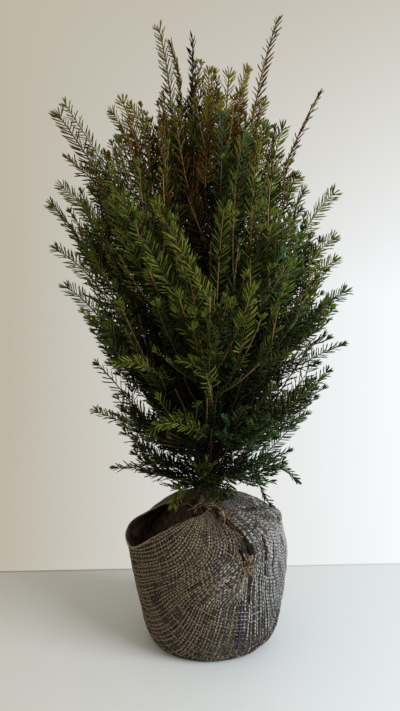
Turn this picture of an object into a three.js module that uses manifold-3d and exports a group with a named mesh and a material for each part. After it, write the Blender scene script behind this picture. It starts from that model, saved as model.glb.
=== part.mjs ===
// Young yew with its roots in a ball of earth, wrapped in a square of coarse sacking.
// Millimetres, +Z up. The origin is the middle of the flat underside of the wrapped ball.
// +X is to the right and +Y is away as the plant is seen from its front.
import * as THREE from 'three';
import { mergeVertices } from 'three/addons/utils/BufferGeometryUtils.js';
import Module from 'manifold-3d';

const wasm = await Module();
wasm.setup();

const UP = new THREE.Vector3(0, 0, 1);
const DEGREE = Math.PI / 180;
const GOLDEN_TURN = 137.508;

// Clear gap between pieces that meet
const GAP = 0.3;

// Wrapped ball: [distance from the axis, height] from the middle of the underside to the cloth's edge
const CLOTH_THICKNESS = 3;
const FOLDED_OVER = [
  [0, 0], [103, 0], [117, 9], [131, 32], [140, 80], [145, 138],
  [142, 188], [130, 220], [100, 240], [66, 247], [40, 250],
];
const STANDING_OPEN = [
  [0, 0], [96, 0], [104, 9], [112, 36], [122, 78], [132, 122],
  [138, 152], [142, 172], [145, 185], [145.5, 193], [143, 200],
];
const BALL_TURNS = 30;
const LEFT_FULLNESS = 0.35;
const POCKET_AT = 186;
const POCKET_HALF_OPEN = 14;
const POCKET_HALF_SHUT = 64;
const POCKET_DEPTH = 18;
const EDGE_GAP = 2;
const ABOVE_CLOTH = 300;
const EARTH_TOP = 246.4;
const EARTH_TOP_RADIUS = 31;

// Fold where two corners of the cloth are drawn together, from beside the stem down to the knot
const FOLD_TOP_AT = 292;
const FOLD_KNOT_AT = 297;
const FOLD_BULGE = 11;
const FOLD_RISE = 7;
const FOLD_RISE_FADES = 26;
const FOLD_DROP = 6;
const FOLD_DROP_FADES = 15;
const FOLD_TOP_STATION = 9.5;
const FOLD_KNOT_STATION = 5.8;
const PLEATS = 9;
const PLEAT_DEPTH = 2.2;

// The rolled corners, their knot and a frayed end beside the stem
const ROLL_LIFT = 3;
const ROLL_STEPS = 7;
const ROLL_SIDES = 6;
const ROLL_TOP_RADIUS = 12;
const ROLL_KNOT_RADIUS = 8;
const WAIST = 0.38;
const LIES_BACK = 0.7;
const SHOULDER = 120;
const KNOT = { at: 297, height: 176, out: 149, long: 27, wide: 16, thick: 12 };
const TUFT = { at: 270, height: 252, out: 62, long: 24, wide: 15, thick: 11 };

// Stem
const STEM_FOOT = EARTH_TOP + GAP;
const STEM_BURIED = 8;
const STEM_TOP = new THREE.Vector3(-6, 8, 606);
const STEM_BEND = new THREE.Vector3(9, -4, 420);
const STEM_RADIUS = 12;
const STEM_TIP_RADIUS = 4.5;
const FLARE_RADIUS = 21;
const FLARE_HEIGHT = 46;
const STEM_SIDES = 8;
const STEM_STEPS = 9;

// Tiers of side boughs, lowest first. Angles are in degrees: turn is the first one's place round the
// stem, rise is how steeply it climbs at its foot and at its tip, bare is its share with no foliage
// and core is the half-width of the dense middle of its foliage.
const BOUGHS_A_TIER = 6;
const TIERS = [
  { name: 'skirt', turn: 30, foot: 278, climb: 20, tip: 306, reach: 168, rise: [20, -4], bare: 0, core: 28 },
  { name: 'lower', turn: 2, foot: 318, climb: 26, tip: 436, reach: 214, rise: [34, 27], bare: 0, core: 40 },
  { name: 'middle', turn: 32, foot: 356, climb: 44, tip: 588, reach: 244, rise: [48, 42], bare: 0.2, core: 46 },
  { name: 'upper', turn: 2, foot: 408, climb: 50, tip: 762, reach: 256, rise: [58, 55], bare: 0.22, core: 44 },
];
// Leading shoots at the top, by [place round the stem, reach from it, height of the tip]. Those that
// reach out furthest leave the stem lowest, so that none crosses another.
const LEADERS = [
  [177, 262, 934], [2, 198, 968], [204, 152, 930], [92, 140, 950], [14, 130, 1104],
  [292, 96, 962], [166, 86, 1088], [44, 92, 990], [234, 40, 1048],
];
const LEADER_FOOT = 446;
const LEADER_CLIMB = 17;
const LEADER_LEAVE = 66;
const LEADER_UPRIGHT = 86;
const LEADER_LEAN = 32;
const LEADER_BARE = 0.2;
const LEADER_CORE = 25;
const HALF_WIDTH = 258;
const TURN_STRAY = 8;
const TIP_STRAY = 24;
const REACH_STRAY = 14;
const CURVE_HANDLE = 0.34;
const CURVE_STEPS = 20;

// Boughs
const BOUGH_RADIUS = 5.2;
const BOUGH_TIP_RADIUS = 2.6;
const BOUGH_SIDES = 5;
const BOUGH_STEPS = 3;

// Foliage: each tooth of a blade stands for a few needles
const NEEDLE = 36;
const NEEDLE_SWEEP = 35;
const NEEDLE_PITCH = 30;
const NEEDLE_LIFT = 0.12;
const TIP_NEEDLE = 0.55;
const TWIG_HALF = 1.7;
const CORE_FILL = 0.8;
const CORE_SIDES = 5;
const CORE_PITCH = 31;
const CELL_GAP = 1.5;
const WOOD_GAP = 2;
const TWIG_EVERY = 45;
const FIRST_TWIG = 0.06;
const LAST_TWIG = 0.82;
const TWIG_SHARE = 0.34;
const TWIG_LEAST = 52;
const TWIG_SPREAD = 46;
const SPREAD_STRAY = 10;
const TWIG_TURN_STRAY = 40;
const FLATNESS = 0.3;
const BENDS_ALONG = 0.7;
const BENDS_UP = 0.12;
const TWIG_STEPS = 6;
const SHORTER = [1, 0.8, 0.62, 0.46];
const CORE_SHARE = 0.72;
const CORE_BLUNTNESS = 0.7;

const NEEDLES = { color: 0x36491c, roughness: 0.55, metalness: 0 };
const BARK = { color: 0x6b4a33, roughness: 0.85, metalness: 0 };
const SACKING = { color: 0x6e6253, roughness: 0.95, metalness: 0 };
const FRAYED_SACKING = { color: 0x9b8262, roughness: 0.95, metalness: 0 };
const EARTH = { color: 0x3a2a1e, roughness: 1, metalness: 0 };

// Numbers from 0 to 1 that are the same each time for the same seed
function seeded(seed) {
  let state = seed >>> 0;
  return () => {
    state = (state + 0x6d2b79f5) >>> 0;
    let t = state;
    t = Math.imul(t ^ (t >>> 15), t | 1);
    t ^= t + Math.imul(t ^ (t >>> 7), t | 61);
    return ((t ^ (t >>> 14)) >>> 0) / 4294967296;
  };
}

function mix(a, b, share) {
  return a + (b - a) * share;
}

function smooth(low, high, value) {
  const share = Math.min(1, Math.max(0, (value - low) / (high - low)));
  return share * share * (3 - 2 * share);
}

// Degrees from one place round the axis to another, from -180 to 180
function turnBetween(from, to) {
  return ((((to - from) % 360) + 540) % 360) - 180;
}

function around(turn, distance, height) {
  return new THREE.Vector3(distance * Math.cos(turn * DEGREE), distance * Math.sin(turn * DEGREE), height);
}

// A way that rises at an angle, out from the stem at a place round it
function heading(turn, rise) {
  return around(turn, Math.cos(rise * DEGREE), Math.sin(rise * DEGREE));
}

// A closed geometry as a solid, without the slivers that meet at a pole
function solidOf(geometry) {
  const bare = geometry.clone();
  bare.deleteAttribute('normal');
  bare.deleteAttribute('uv');
  const merged = mergeVertices(bare, 1e-4);
  const corners = merged.index.array;
  const kept = [];
  for (let i = 0; i < corners.length; i += 3) {
    const [a, b, c] = corners.slice(i, i + 3);
    if (a !== b && b !== c && c !== a) kept.push(a, b, c);
  }
  return new wasm.Manifold(new wasm.Mesh({
    numProp: 3,
    vertProperties: new Float32Array(merged.attributes.position.array),
    triVerts: new Uint32Array(kept),
  }));
}

function geometryOf(solid) {
  const mesh = solid.getMesh();
  const geometry = new THREE.BufferGeometry();
  geometry.setAttribute('position', new THREE.BufferAttribute(new Float32Array(mesh.vertProperties), 3));
  geometry.setIndex(new THREE.BufferAttribute(new Uint32Array(mesh.triVerts), 1));
  geometry.computeVertexNormals();
  return geometry;
}

function largest(solid) {
  return solid.decompose().reduce((most, next) => (next.volume() > most.volume() ? next : most));
}

function joined(solids) {
  return solids.reduce((whole, next) => whole.add(next));
}

// A named piece whose own origin is at a place of its group
function addPiece(group, name, solid, finish, place = new THREE.Vector3()) {
  const geometry = geometryOf(solid);
  const origin = place.clone().add(group.position);
  geometry.translate(-origin.x, -origin.y, -origin.z);
  const piece = new THREE.Mesh(geometry, new THREE.MeshStandardMaterial(finish));
  piece.name = name;
  piece.position.copy(place);
  group.add(piece);
}

// A line of points with the way it runs and a steady sideways direction at each
class Course {
  constructor(points, side) {
    this.points = points;
    this.ways = points.map((_, i) => points[Math.min(i + 1, points.length - 1)].clone()
      .sub(points[Math.max(i - 1, 0)]).normalize());
    this.sides = [];
    let last = side;
    for (const way of this.ways) {
      last = last.clone().addScaledVector(way, -last.dot(way)).normalize();
      this.sides.push(last);
    }
  }

  get length() {
    return this.points.slice(1).reduce((sum, p, i) => sum + p.distanceTo(this.points[i]), 0);
  }

  // The place, way, side and back at a share of the course
  at(share) {
    const place = Math.min(1, Math.max(0, share)) * (this.points.length - 1);
    const i = Math.min(Math.floor(place), this.points.length - 2);
    const part = place - i;
    const way = this.ways[i].clone().lerp(this.ways[i + 1], part).normalize();
    const side = this.sides[i].clone().lerp(this.sides[i + 1], part);
    side.addScaledVector(way, -side.dot(way)).normalize();
    return {
      point: this.points[i].clone().lerp(this.points[i + 1], part),
      way,
      side,
      back: side.clone().cross(way),
    };
  }

  part(from, to, steps) {
    const points = Array.from({ length: steps + 1 }, (_, i) => this.at(mix(from, to, i / steps)).point);
    return new Course(points, this.at(from).side);
  }

  distanceTo(point) {
    const line = new THREE.Line3();
    const nearest = new THREE.Vector3();
    let best = Infinity;
    for (let i = 0; i + 1 < this.points.length; i += 1) {
      line.set(this.points[i], this.points[i + 1]);
      line.closestPointToPoint(point, true, nearest);
      best = Math.min(best, nearest.distanceTo(point));
    }
    return best;
  }
}

// A round-sided solid whose middle follows a course
function limb(course, radiusAt, sides, steps) {
  const geometry = new THREE.CylinderGeometry(1, 1, 1, sides, steps);
  const corners = geometry.attributes.position;
  for (let i = 0; i < corners.count; i += 1) {
    const share = corners.getY(i) + 0.5;
    const { point, side, back } = course.at(share);
    const radius = radiusAt(share);
    point.addScaledVector(side, corners.getX(i) * radius);
    point.addScaledVector(back, corners.getZ(i) * radius);
    corners.setXYZ(i, point.x, point.y, point.z);
  }
  return solidOf(geometry);
}

// How far the cloth stands open at a place round the ball, from 0, folded over, to 1
function openness(turn) {
  return 1 - smooth(POCKET_HALF_OPEN, POCKET_HALF_SHUT, Math.abs(turnBetween(POCKET_AT, turn)));
}

// Where the fold lies round the ball at a share of its way down to the knot
function foldTurn(share) {
  return mix(FOLD_TOP_AT, FOLD_KNOT_AT, share) + FOLD_BULGE * Math.sin(Math.PI * share);
}

// How far the fold and the pleats push the cloth out at a station of its profile
function drape(turn, station) {
  const along = (FOLD_TOP_STATION - station) / (FOLD_TOP_STATION - FOLD_KNOT_STATION);
  const off = turnBetween(foldTurn(Math.min(1, Math.max(0, along))), turn);
  const rise = FOLD_RISE * (1 - smooth(0, FOLD_RISE_FADES, off));
  const drop = -FOLD_DROP * (1 - smooth(0, FOLD_DROP_FADES, -off)) * smooth(0, 4, -off);
  const present = smooth(3, 5, station) * (1 - smooth(9, 10, station));
  const pleated = smooth(4, 8, station) * (1 - smooth(8, 10, station));
  return (off > 0 ? rise : drop) * present + PLEAT_DEPTH * Math.sin(PLEATS * turn * DEGREE) * pleated;
}

// The ball's profile at a place round it, as [distance from the axis, height], taken in by an inset
function ballProfile(turn, inset) {
  const open = openness(turn);
  const right = (1 + Math.cos(turn * DEGREE)) / 2;
  const outer = FOLDED_OVER.map(([radius, height], i) => {
    const slim = i < 7 ? mix(STANDING_OPEN[i][0], radius, Math.max(right, LEFT_FULLNESS)) : radius;
    return [mix(slim, STANDING_OPEN[i][0], open), mix(height, STANDING_OPEN[i][1], open)];
  });
  return outer.map(([radius, height], i) => {
    if (i === 0) return [0, inset];
    const before = outer[i - 1];
    const after = outer[Math.min(i + 1, outer.length - 1)];
    const run = new THREE.Vector2(after[0] - before[0], after[1] - before[1]).normalize();
    const push = i > 1 ? drape(turn, i) : 0;
    const out = push - inset;
    if (i === 1) return [radius - inset / 2, inset];
    return [radius + run.y * out, Math.max(inset, height - run.x * out)];
  });
}

// A lathed solid whose profile differs round the axis
function lathed(profileAt) {
  const outline = profileAt(0).map(([radius, height]) => new THREE.Vector2(radius, height));
  const geometry = new THREE.LatheGeometry(outline, BALL_TURNS);
  const corners = geometry.attributes.position;
  for (let i = 0; i <= BALL_TURNS; i += 1) {
    const turn = (i % BALL_TURNS) * (360 / BALL_TURNS);
    profileAt(turn).forEach(([radius, height], j) => {
      const point = around(turn, radius, height);
      corners.setXYZ(i * outline.length + j, point.x, point.y, point.z);
    });
  }
  return solidOf(geometry);
}

// What the cloth wraps, grown by a margin
function wrapped(margin) {
  return lathed((turn) => [...ballProfile(turn, -margin), [0, EARTH_TOP]]);
}

// The cloth, with the whole space above its edge open
function sacking() {
  const inside = lathed((turn) => {
    const profile = ballProfile(turn, CLOTH_THICKNESS);
    const [edgeRadius] = profile.at(-1);
    return [...profile, [edgeRadius, ABOVE_CLOTH], [0, ABOVE_CLOTH]];
  });
  return wrapped(0).subtract(inside);
}

// The earth fills the cloth, and sinks away below the edge where the cloth stands open
function earth() {
  return lathed((turn) => {
    const open = openness(turn);
    const profile = ballProfile(turn, CLOTH_THICKNESS + GAP);
    const [rimRadius, rimHeight] = profile[6];
    const [edgeRadius, edgeHeight] = profile[10];
    const under = [...profile.slice(7, 10), [edgeRadius - EDGE_GAP, edgeHeight - EDGE_GAP]];
    const top = under.map(([radius, height], i) => {
      const share = (i + 1) / 5;
      const hollow = POCKET_DEPTH * Math.sin(Math.PI * share);
      const sunkRadius = mix(rimRadius, EARTH_TOP_RADIUS, share);
      return [mix(radius, sunkRadius, open), mix(height, mix(rimHeight, EARTH_TOP, share) - hollow, open)];
    });
    return [...profile.slice(0, 7), ...top, [EARTH_TOP_RADIUS, EARTH_TOP], [0, EARTH_TOP]];
  });
}

// A place on the cloth's outer face, or off it by a lift
function onCloth(turn, station, lift) {
  const profile = ballProfile(turn, -lift);
  const i = Math.floor(station);
  const [radius, height] = profile[i].map((low, axis) => mix(low, profile[i + 1][axis], station - i));
  return around(turn, radius, height);
}

// Two corners of the cloth rolled together, which run down from beside the stem to their knot
function rolledCorners() {
  const points = Array.from({ length: ROLL_STEPS + 1 }, (_, i) => {
    const share = i / ROLL_STEPS;
    return onCloth(foldTurn(share), mix(FOLD_TOP_STATION, FOLD_KNOT_STATION, share), ROLL_LIFT);
  });
  const radiusAt = (share) => mix(ROLL_TOP_RADIUS, ROLL_KNOT_RADIUS, share);
  return limb(new Course(points, UP), radiusAt, ROLL_SIDES, ROLL_STEPS);
}

// An end of the cloth that is tied off: a pointed lump lying on the ball
function tiedEnd(spec) {
  const geometry = new THREE.SphereGeometry(1, 8, 6);
  geometry.scale(spec.thick, spec.wide, spec.long);
  const lump = geometry.attributes.position;
  for (let i = 0; i < lump.count; i += 1) {
    const gathered = 1 - WAIST * Math.cos((3 * lump.getZ(i)) / spec.long);
    lump.setXYZ(i, lump.getX(i) * gathered, lump.getY(i) * gathered, lump.getZ(i));
  }
  geometry.rotateY(-Math.atan2(spec.height - SHOULDER, spec.out) * LIES_BACK);
  geometry.rotateZ(spec.at * DEGREE);
  const place = around(spec.at, spec.out, spec.height);
  geometry.translate(place.x, place.y, place.z);
  return solidOf(geometry);
}

const stemCourse = (() => {
  const foot = new THREE.Vector3(0, 0, STEM_FOOT - STEM_BURIED);
  const curve = new THREE.QuadraticBezierCurve3(foot, STEM_BEND, STEM_TOP);
  return new Course(curve.getPoints(CURVE_STEPS), new THREE.Vector3(1, 0, 0));
})();

function stemRadius(share) {
  const flare = Math.max(0, 1 - (share * stemCourse.length) / FLARE_HEIGHT);
  return mix(STEM_RADIUS, STEM_TIP_RADIUS, share) + (FLARE_RADIUS - STEM_RADIUS) * flare * flare;
}

// The stem with its flat foot, grown by a margin
function stem(margin) {
  const whole = limb(stemCourse, (share) => stemRadius(share) + margin, STEM_SIDES, STEM_STEPS);
  return whole.trimByPlane([0, 0, 1], STEM_FOOT);
}

// One bough's whole course, from inside the stem to the tip of its foliage
function boughCourse({ turn, foot, tip, reach, rise, bow }) {
  const share = (foot - STEM_FOOT) / (STEM_TOP.z - STEM_FOOT);
  const start = stemCourse.at(share).point;
  const finish = around(turn, reach, tip);
  const span = start.distanceTo(finish) * CURVE_HANDLE;
  const side = around(turn + 90, 1, 0);
  const curve = new THREE.CubicBezierCurve3(
    start,
    start.clone().addScaledVector(heading(turn, rise[0]), span).addScaledVector(side, bow),
    finish.clone().addScaledVector(heading(turn, rise[1]), -span).addScaledVector(side, bow),
    finish,
  );
  return new Course(curve.getPoints(CURVE_STEPS), side);
}

function crownPlan() {
  const random = seeded(11);
  const stray = (size) => (random() - 0.5) * 2 * size;
  const plan = [];
  for (const tier of TIERS) {
    for (let k = 0; k < BOUGHS_A_TIER; k += 1) {
      plan.push({
        name: `${tier.name}_${k + 1}`,
        turn: tier.turn + (k * 360) / BOUGHS_A_TIER + stray(TURN_STRAY),
        foot: tier.foot + (((k * 2) % BOUGHS_A_TIER) / BOUGHS_A_TIER) * tier.climb,
        tip: tier.tip + stray(TIP_STRAY),
        reach: tier.reach + stray(REACH_STRAY),
        rise: tier.rise,
        bow: stray(REACH_STRAY),
        bare: tier.bare,
        core: tier.core,
      });
    }
  }
  LEADERS.forEach(([turn, reach, tip], k) => {
    plan.push({
      name: `leader_${k + 1}`,
      turn,
      foot: LEADER_FOOT + k * LEADER_CLIMB,
      tip,
      reach,
      rise: [LEADER_LEAVE, LEADER_UPRIGHT - (LEADER_LEAN * reach) / HALF_WIDTH],
      bow: stray(REACH_STRAY),
      bare: LEADER_BARE,
      core: LEADER_CORE,
    });
  });
  return plan;
}

// Each bough's bare wood and the course of its foliage, which starts just clear of the wood's end, or
// inside the stem where the bough has no bare wood
function growBoughs() {
  return crownPlan().map((spec, index) => {
    const whole = boughCourse(spec);
    const start = spec.bare > 0 ? spec.bare + GAP / whole.length : STEM_RADIUS / 2 / whole.length;
    return {
      ...spec,
      index,
      wooden: spec.bare > 0 ? whole.part(0, spec.bare, 8) : null,
      leafy: whole.part(start, 1, 10),
    };
  });
}

// A bough's bare wood, grown by a margin
function woodOf(bough, margin) {
  const radiusAt = (share) => mix(BOUGH_RADIUS, BOUGH_TIP_RADIUS, share) + margin;
  return limb(bough.wooden, radiusAt, BOUGH_SIDES, BOUGH_STEPS);
}

// A twig set with needles: a slim loft along a course, with forward-pointing teeth on some of its walls.
// A flat spray has three corners and teeth to its left and right; a round one has them all about it.
function needled(course, { radiusAt, toothAt, steps, sides, flat }) {
  const corners = [];
  const faces = [];
  const tips = [];
  const sweep = NEEDLE_SWEEP * DEGREE;
  const add = (point) => {
    corners.push(point.x, point.y, point.z);
    return corners.length / 3 - 1;
  };
  const outward = (frame, angle) => frame.side.clone().multiplyScalar(Math.cos(angle))
    .addScaledVector(frame.back, -Math.sin(angle));
  const cornerAngle = (k) => (0.25 + k / sides) * 2 * Math.PI;
  const rows = [];
  for (let j = 0; j <= steps; j += 1) {
    const frame = course.at(j / steps);
    rows.push(Array.from({ length: sides }, (_, k) => add(frame.point.clone()
      .addScaledVector(outward(frame, cornerAngle(k)), radiusAt(j / steps)))));
  }
  for (let k = 2; k < sides; k += 1) faces.push(rows[0][0], rows[0][k], rows[0][k - 1]);
  for (let j = 0; j < steps; j += 1) {
    const frame = course.at(j / steps);
    for (let k = 0; k < sides; k += 1) {
      const k2 = (k + 1) % sides;
      const [near, far, nextNear, nextFar] = [rows[j][k], rows[j][k2], rows[j + 1][k], rows[j + 1][k2]];
      const toothed = flat ? k !== 1 : (j + k) % 2 === 0;
      const base = flat && k === 0 ? [near, far, nextFar] : [near, far, nextNear];
      const rest = flat && k === 0 ? [near, nextFar, nextNear] : [far, nextFar, nextNear];
      faces.push(...rest);
      if (toothed) {
        const angle = flat ? (k === 0 ? 1 : 0) * Math.PI : cornerAngle(k + 0.5);
        const reach = toothAt(j / steps);
        const tip = frame.point.clone().addScaledVector(frame.way, Math.cos(sweep) * reach)
          .addScaledVector(outward(frame, angle), Math.sin(sweep) * reach + radiusAt(j / steps));
        if (flat) tip.addScaledVector(frame.back, -NEEDLE_LIFT * reach);
        tips.push(tip);
        const apex = add(tip);
        faces.push(base[0], base[1], apex, base[1], base[2], apex, base[2], base[0], apex);
      } else {
        faces.push(...base);
      }
    }
  }
  const last = course.at(1);
  const end = last.point.clone().addScaledVector(last.way, toothAt(1) * 0.7);
  const point = add(end);
  tips.push(end);
  for (let k = 0; k < sides; k += 1) faces.push(rows[steps][k], rows[steps][(k + 1) % sides], point);
  const geometry = new THREE.BufferGeometry();
  geometry.setAttribute('position', new THREE.Float32BufferAttribute(corners, 3));
  geometry.setIndex(faces);
  return { solid: solidOf(geometry), tips };
}

// The twigs of a leafy course: they alternate round it, lean forwards and are shorter towards its tip
function twigCourses(leafy, seed) {
  const random = seeded(seed);
  const made = [];
  const { length } = leafy;
  const count = Math.round(length / TWIG_EVERY);
  for (let k = 0; k < count; k += 1) {
    const share = mix(FIRST_TWIG, LAST_TWIG, (k + 0.6 * random()) / count);
    const { point, way, side, back } = leafy.at(share);
    const turn = (k * GOLDEN_TURN + TWIG_TURN_STRAY * random()) * DEGREE;
    const erect = mix(FLATNESS, 1, Math.abs(way.z));
    const out = side.clone().multiplyScalar(Math.cos(turn))
      .addScaledVector(back, Math.sin(turn) * erect).normalize();
    const spread = (TWIG_SPREAD + SPREAD_STRAY * (random() - 0.5)) * DEGREE;
    const first = way.clone().multiplyScalar(Math.cos(spread)).addScaledVector(out, Math.sin(spread));
    const later = first.clone().addScaledVector(way, BENDS_ALONG).addScaledVector(UP, BENDS_UP).normalize();
    const full = (length * TWIG_SHARE * (1 - share) + TWIG_LEAST) * mix(0.85, 1.1, random());
    made.push({ point, first, later, full, faces: way.clone().cross(first).normalize() });
  }
  return made;
}

// A twig's course when it is cut to a share of its full length
function twigCourse({ point, first, later, full, faces }, share) {
  const elbow = point.clone().addScaledVector(first, (full * share) / 2);
  const end = elbow.clone().addScaledVector(later, (full * share) / 2);
  const curve = new THREE.QuadraticBezierCurve3(point, elbow, end);
  return new Course(curve.getPoints(TWIG_STEPS), later.clone().cross(faces));
}

// How far one mass may reach sideways from a point of its course
function roomAround(point, own, boughs) {
  let room = stemCourse.distanceTo(point) - STEM_RADIUS;
  for (const other of boughs) {
    if (other !== own) room = Math.min(room, other.leafy.distanceTo(point) / 2);
    if (other !== own && other.wooden) room = Math.min(room, other.wooden.distanceTo(point) - BOUGH_RADIUS);
  }
  return room - WOOD_GAP;
}

// True if a point keeps to one mass's own space: nearest to its own course, and clear of all wood
function keepsToSpace(point, own, boughs) {
  const near = own.leafy.distanceTo(point);
  for (const other of boughs) {
    if (other !== own && other.leafy.distanceTo(point) < near + CELL_GAP) return false;
    if (other.wooden && other.wooden.distanceTo(point) < BOUGH_RADIUS + WOOD_GAP) return false;
  }
  return stemCourse.distanceTo(point) > STEM_RADIUS + WOOD_GAP;
}

// The needles are shorter where they crowd round a tip
function toothLength(share, size) {
  return NEEDLE * size * mix(1, TIP_NEEDLE, share ** 3);
}

// The leading shoot of a mass, with the dense middle that its needles and twigs stand out of
function leadingShoot(own) {
  const radiusAt = (share) => {
    const bulge = Math.sin((Math.PI * Math.min(share, CORE_SHARE)) / CORE_SHARE);
    const wanted = own.core * Math.max(0, bulge) ** CORE_BLUNTNESS;
    const allowed = own.roomAt(own.leafy.at(share).point) * CORE_FILL;
    return Math.max(mix(BOUGH_TIP_RADIUS, 1.2, share), Math.min(wanted, allowed));
  };
  const toothAt = (share) => {
    const room = own.roomAt(own.leafy.at(share).point) - radiusAt(share);
    return Math.max(2, Math.min(toothLength(share, 1) * smooth(-0.1, 0.2, share), room));
  };
  const steps = Math.round(own.leafy.length / CORE_PITCH);
  return needled(own.leafy, { radiusAt, toothAt, steps, sides: CORE_SIDES, flat: false });
}

// A mass of needles: its leading shoot and every twig that, cut shorter where need be, keeps to its space
function foliage(own, boughs) {
  const parts = [leadingShoot(own).solid];
  for (const twig of twigCourses(own.leafy, 100 + own.index)) {
    for (const share of SHORTER) {
      const course = twigCourse(twig, share);
      const spray = needled(course, {
        radiusAt: (along) => TWIG_HALF * mix(1, 0.55, along),
        toothAt: (along) => toothLength(along, mix(0.75, 1, share)),
        steps: Math.max(2, Math.round(course.length / NEEDLE_PITCH)),
        sides: 3,
        flat: true,
      });
      const checked = [...spray.tips, ...course.points.slice(1)];
      if (checked.every((tip) => keepsToSpace(tip, own, boughs))) {
        parts.push(spray.solid);
        break;
      }
    }
  }
  return joined(parts);
}

const plant = new THREE.Group();

const ball = new THREE.Group();
plant.add(ball);
const clothSeat = wrapped(GAP);
addPiece(ball, 'root_ball', earth(), EARTH);
addPiece(ball, 'sacking_wrap', sacking(), SACKING);
const roll = largest(rolledCorners().add(tiedEnd(KNOT)).subtract(clothSeat));
addPiece(ball, 'rolled_corners', roll, FRAYED_SACKING, around(KNOT.at, KNOT.out, KNOT.height));
const fray = largest(tiedEnd(TUFT).subtract(clothSeat));
addPiece(ball, 'frayed_end', fray, FRAYED_SACKING, around(TUFT.at, TUFT.out, TUFT.height));

const tree = new THREE.Group();
tree.position.set(0, 0, STEM_FOOT);
plant.add(tree);
addPiece(tree, 'stem', stem(0), BARK);

// A place of the plant, from the foot of the stem
function fromFoot(point) {
  return point.clone().sub(tree.position);
}

const boughs = growBoughs();
for (const own of boughs) {
  own.roomAt = (point) => roomAround(point, own, boughs);
}
const stemRoom = stem(GAP);
let woodSoFar = stemRoom;
for (const bough of boughs) {
  if (bough.wooden) {
    const wood = largest(woodOf(bough, 0).subtract(woodSoFar));
    addPiece(tree, `bough_${bough.name}`, wood, BARK, fromFoot(bough.wooden.points[0]));
    woodSoFar = woodSoFar.add(woodOf(bough, GAP));
  }
  const leaves = largest(foliage(bough, boughs).subtract(stemRoom));
  addPiece(tree, `foliage_${bough.name}`, leaves, NEEDLES, fromFoot(bough.leafy.points[0]));
}

export default plant;
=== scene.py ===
# Young yew with its roots in a ball of earth, wrapped in a square of coarse sacking.
# The plant stands on the middle of its ball's flat underside. +Z is up, +X is to the right and +Y is
# away from the front. The plan of the plant is in millimetres, as in the part's source, and every mesh
# is in metres.
import math

import bpy
import numpy as np
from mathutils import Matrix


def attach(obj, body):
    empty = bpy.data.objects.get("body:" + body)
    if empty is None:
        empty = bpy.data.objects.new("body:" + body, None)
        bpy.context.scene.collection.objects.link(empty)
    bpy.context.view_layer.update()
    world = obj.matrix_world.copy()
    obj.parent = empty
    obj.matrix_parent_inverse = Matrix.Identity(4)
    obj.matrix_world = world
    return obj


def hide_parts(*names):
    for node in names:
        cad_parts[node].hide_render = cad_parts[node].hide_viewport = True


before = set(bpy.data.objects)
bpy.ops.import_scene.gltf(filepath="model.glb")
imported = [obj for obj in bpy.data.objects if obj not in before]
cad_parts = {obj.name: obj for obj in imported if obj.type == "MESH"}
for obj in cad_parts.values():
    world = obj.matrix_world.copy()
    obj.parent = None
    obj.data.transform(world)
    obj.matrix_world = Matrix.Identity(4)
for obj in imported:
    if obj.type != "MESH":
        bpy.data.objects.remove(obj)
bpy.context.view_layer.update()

MM = 0.001
UP = np.array([0.0, 0.0, 1.0])
GOLDEN_TURN = 137.508
LINE_STEPS = 6
LINE_ROUNDS = 4

# Stem and boughs, as in the part's source
STEM_FOOT = 246.7
STEM_BURIED = 8
STEM_TOP = (-6, 8, 606)
STEM_BEND = (9, -4, 420)
STEM_RADIUS = 12
STEM_TIP_RADIUS = 4.5
FLARE_RADIUS = 21
FLARE_HEIGHT = 46
BOUGH_RADIUS = 5.2
BOUGH_TIP_RADIUS = 2.6
CURVE_HANDLE = 0.34
CURVE_STEPS = 20
BOUGHS_A_TIER = 6

# Tiers: place of the first bough round the stem, height of the lowest foot and how far the feet climb,
# height of the tips, reach, angles at the foot and at the tip, and the share that is bare wood
TIER_WORDS = ("name", "turn", "foot", "climb", "tip", "reach", "rise", "bare")
TIERS = [dict(zip(TIER_WORDS, tier)) for tier in (
    ("skirt", 30, 278, 20, 306, 168, (20, -4), 0),
    ("lower", 2, 318, 26, 436, 214, (34, 27), 0),
    ("middle", 32, 356, 44, 588, 244, (48, 42), 0.2),
    ("upper", 2, 408, 50, 762, 256, (58, 55), 0.22),
)]

# Leading boughs: place round the stem, reach from it, height of the tip
LEADERS = [
    (177, 262, 934), (2, 198, 968), (204, 152, 930), (92, 140, 950), (14, 130, 1104),
    (292, 96, 962), (166, 86, 1088), (44, 92, 990), (234, 40, 1048),
]
LEADER_FOOT = 446
LEADER_CLIMB = 17
LEADER_LEAVE = 66
LEADER_UPRIGHT = 86
LEADER_LEAN = 32
LEADER_BARE = 0.2
HALF_WIDTH = 258
TURN_STRAY = 8
TIP_STRAY = 24
REACH_STRAY = 14
WOODEN_STEPS = 8
LEAFY_STEPS = 10

# Twigs, as in the part's source
FIRST_TWIG = 0.06
TWIG_STRAY = 0.6
SPREAD_STRAY = 10
TWIG_TURN_STRAY = 40
FLATNESS = 0.3
TWIG_STEPS = 6
TWIG_VARIES = (0.85, 1.1)
SHORTER = (1, 0.8, 0.62, 0.46)
CELL_GAP = 1.5
WOOD_GAP = 2

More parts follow.
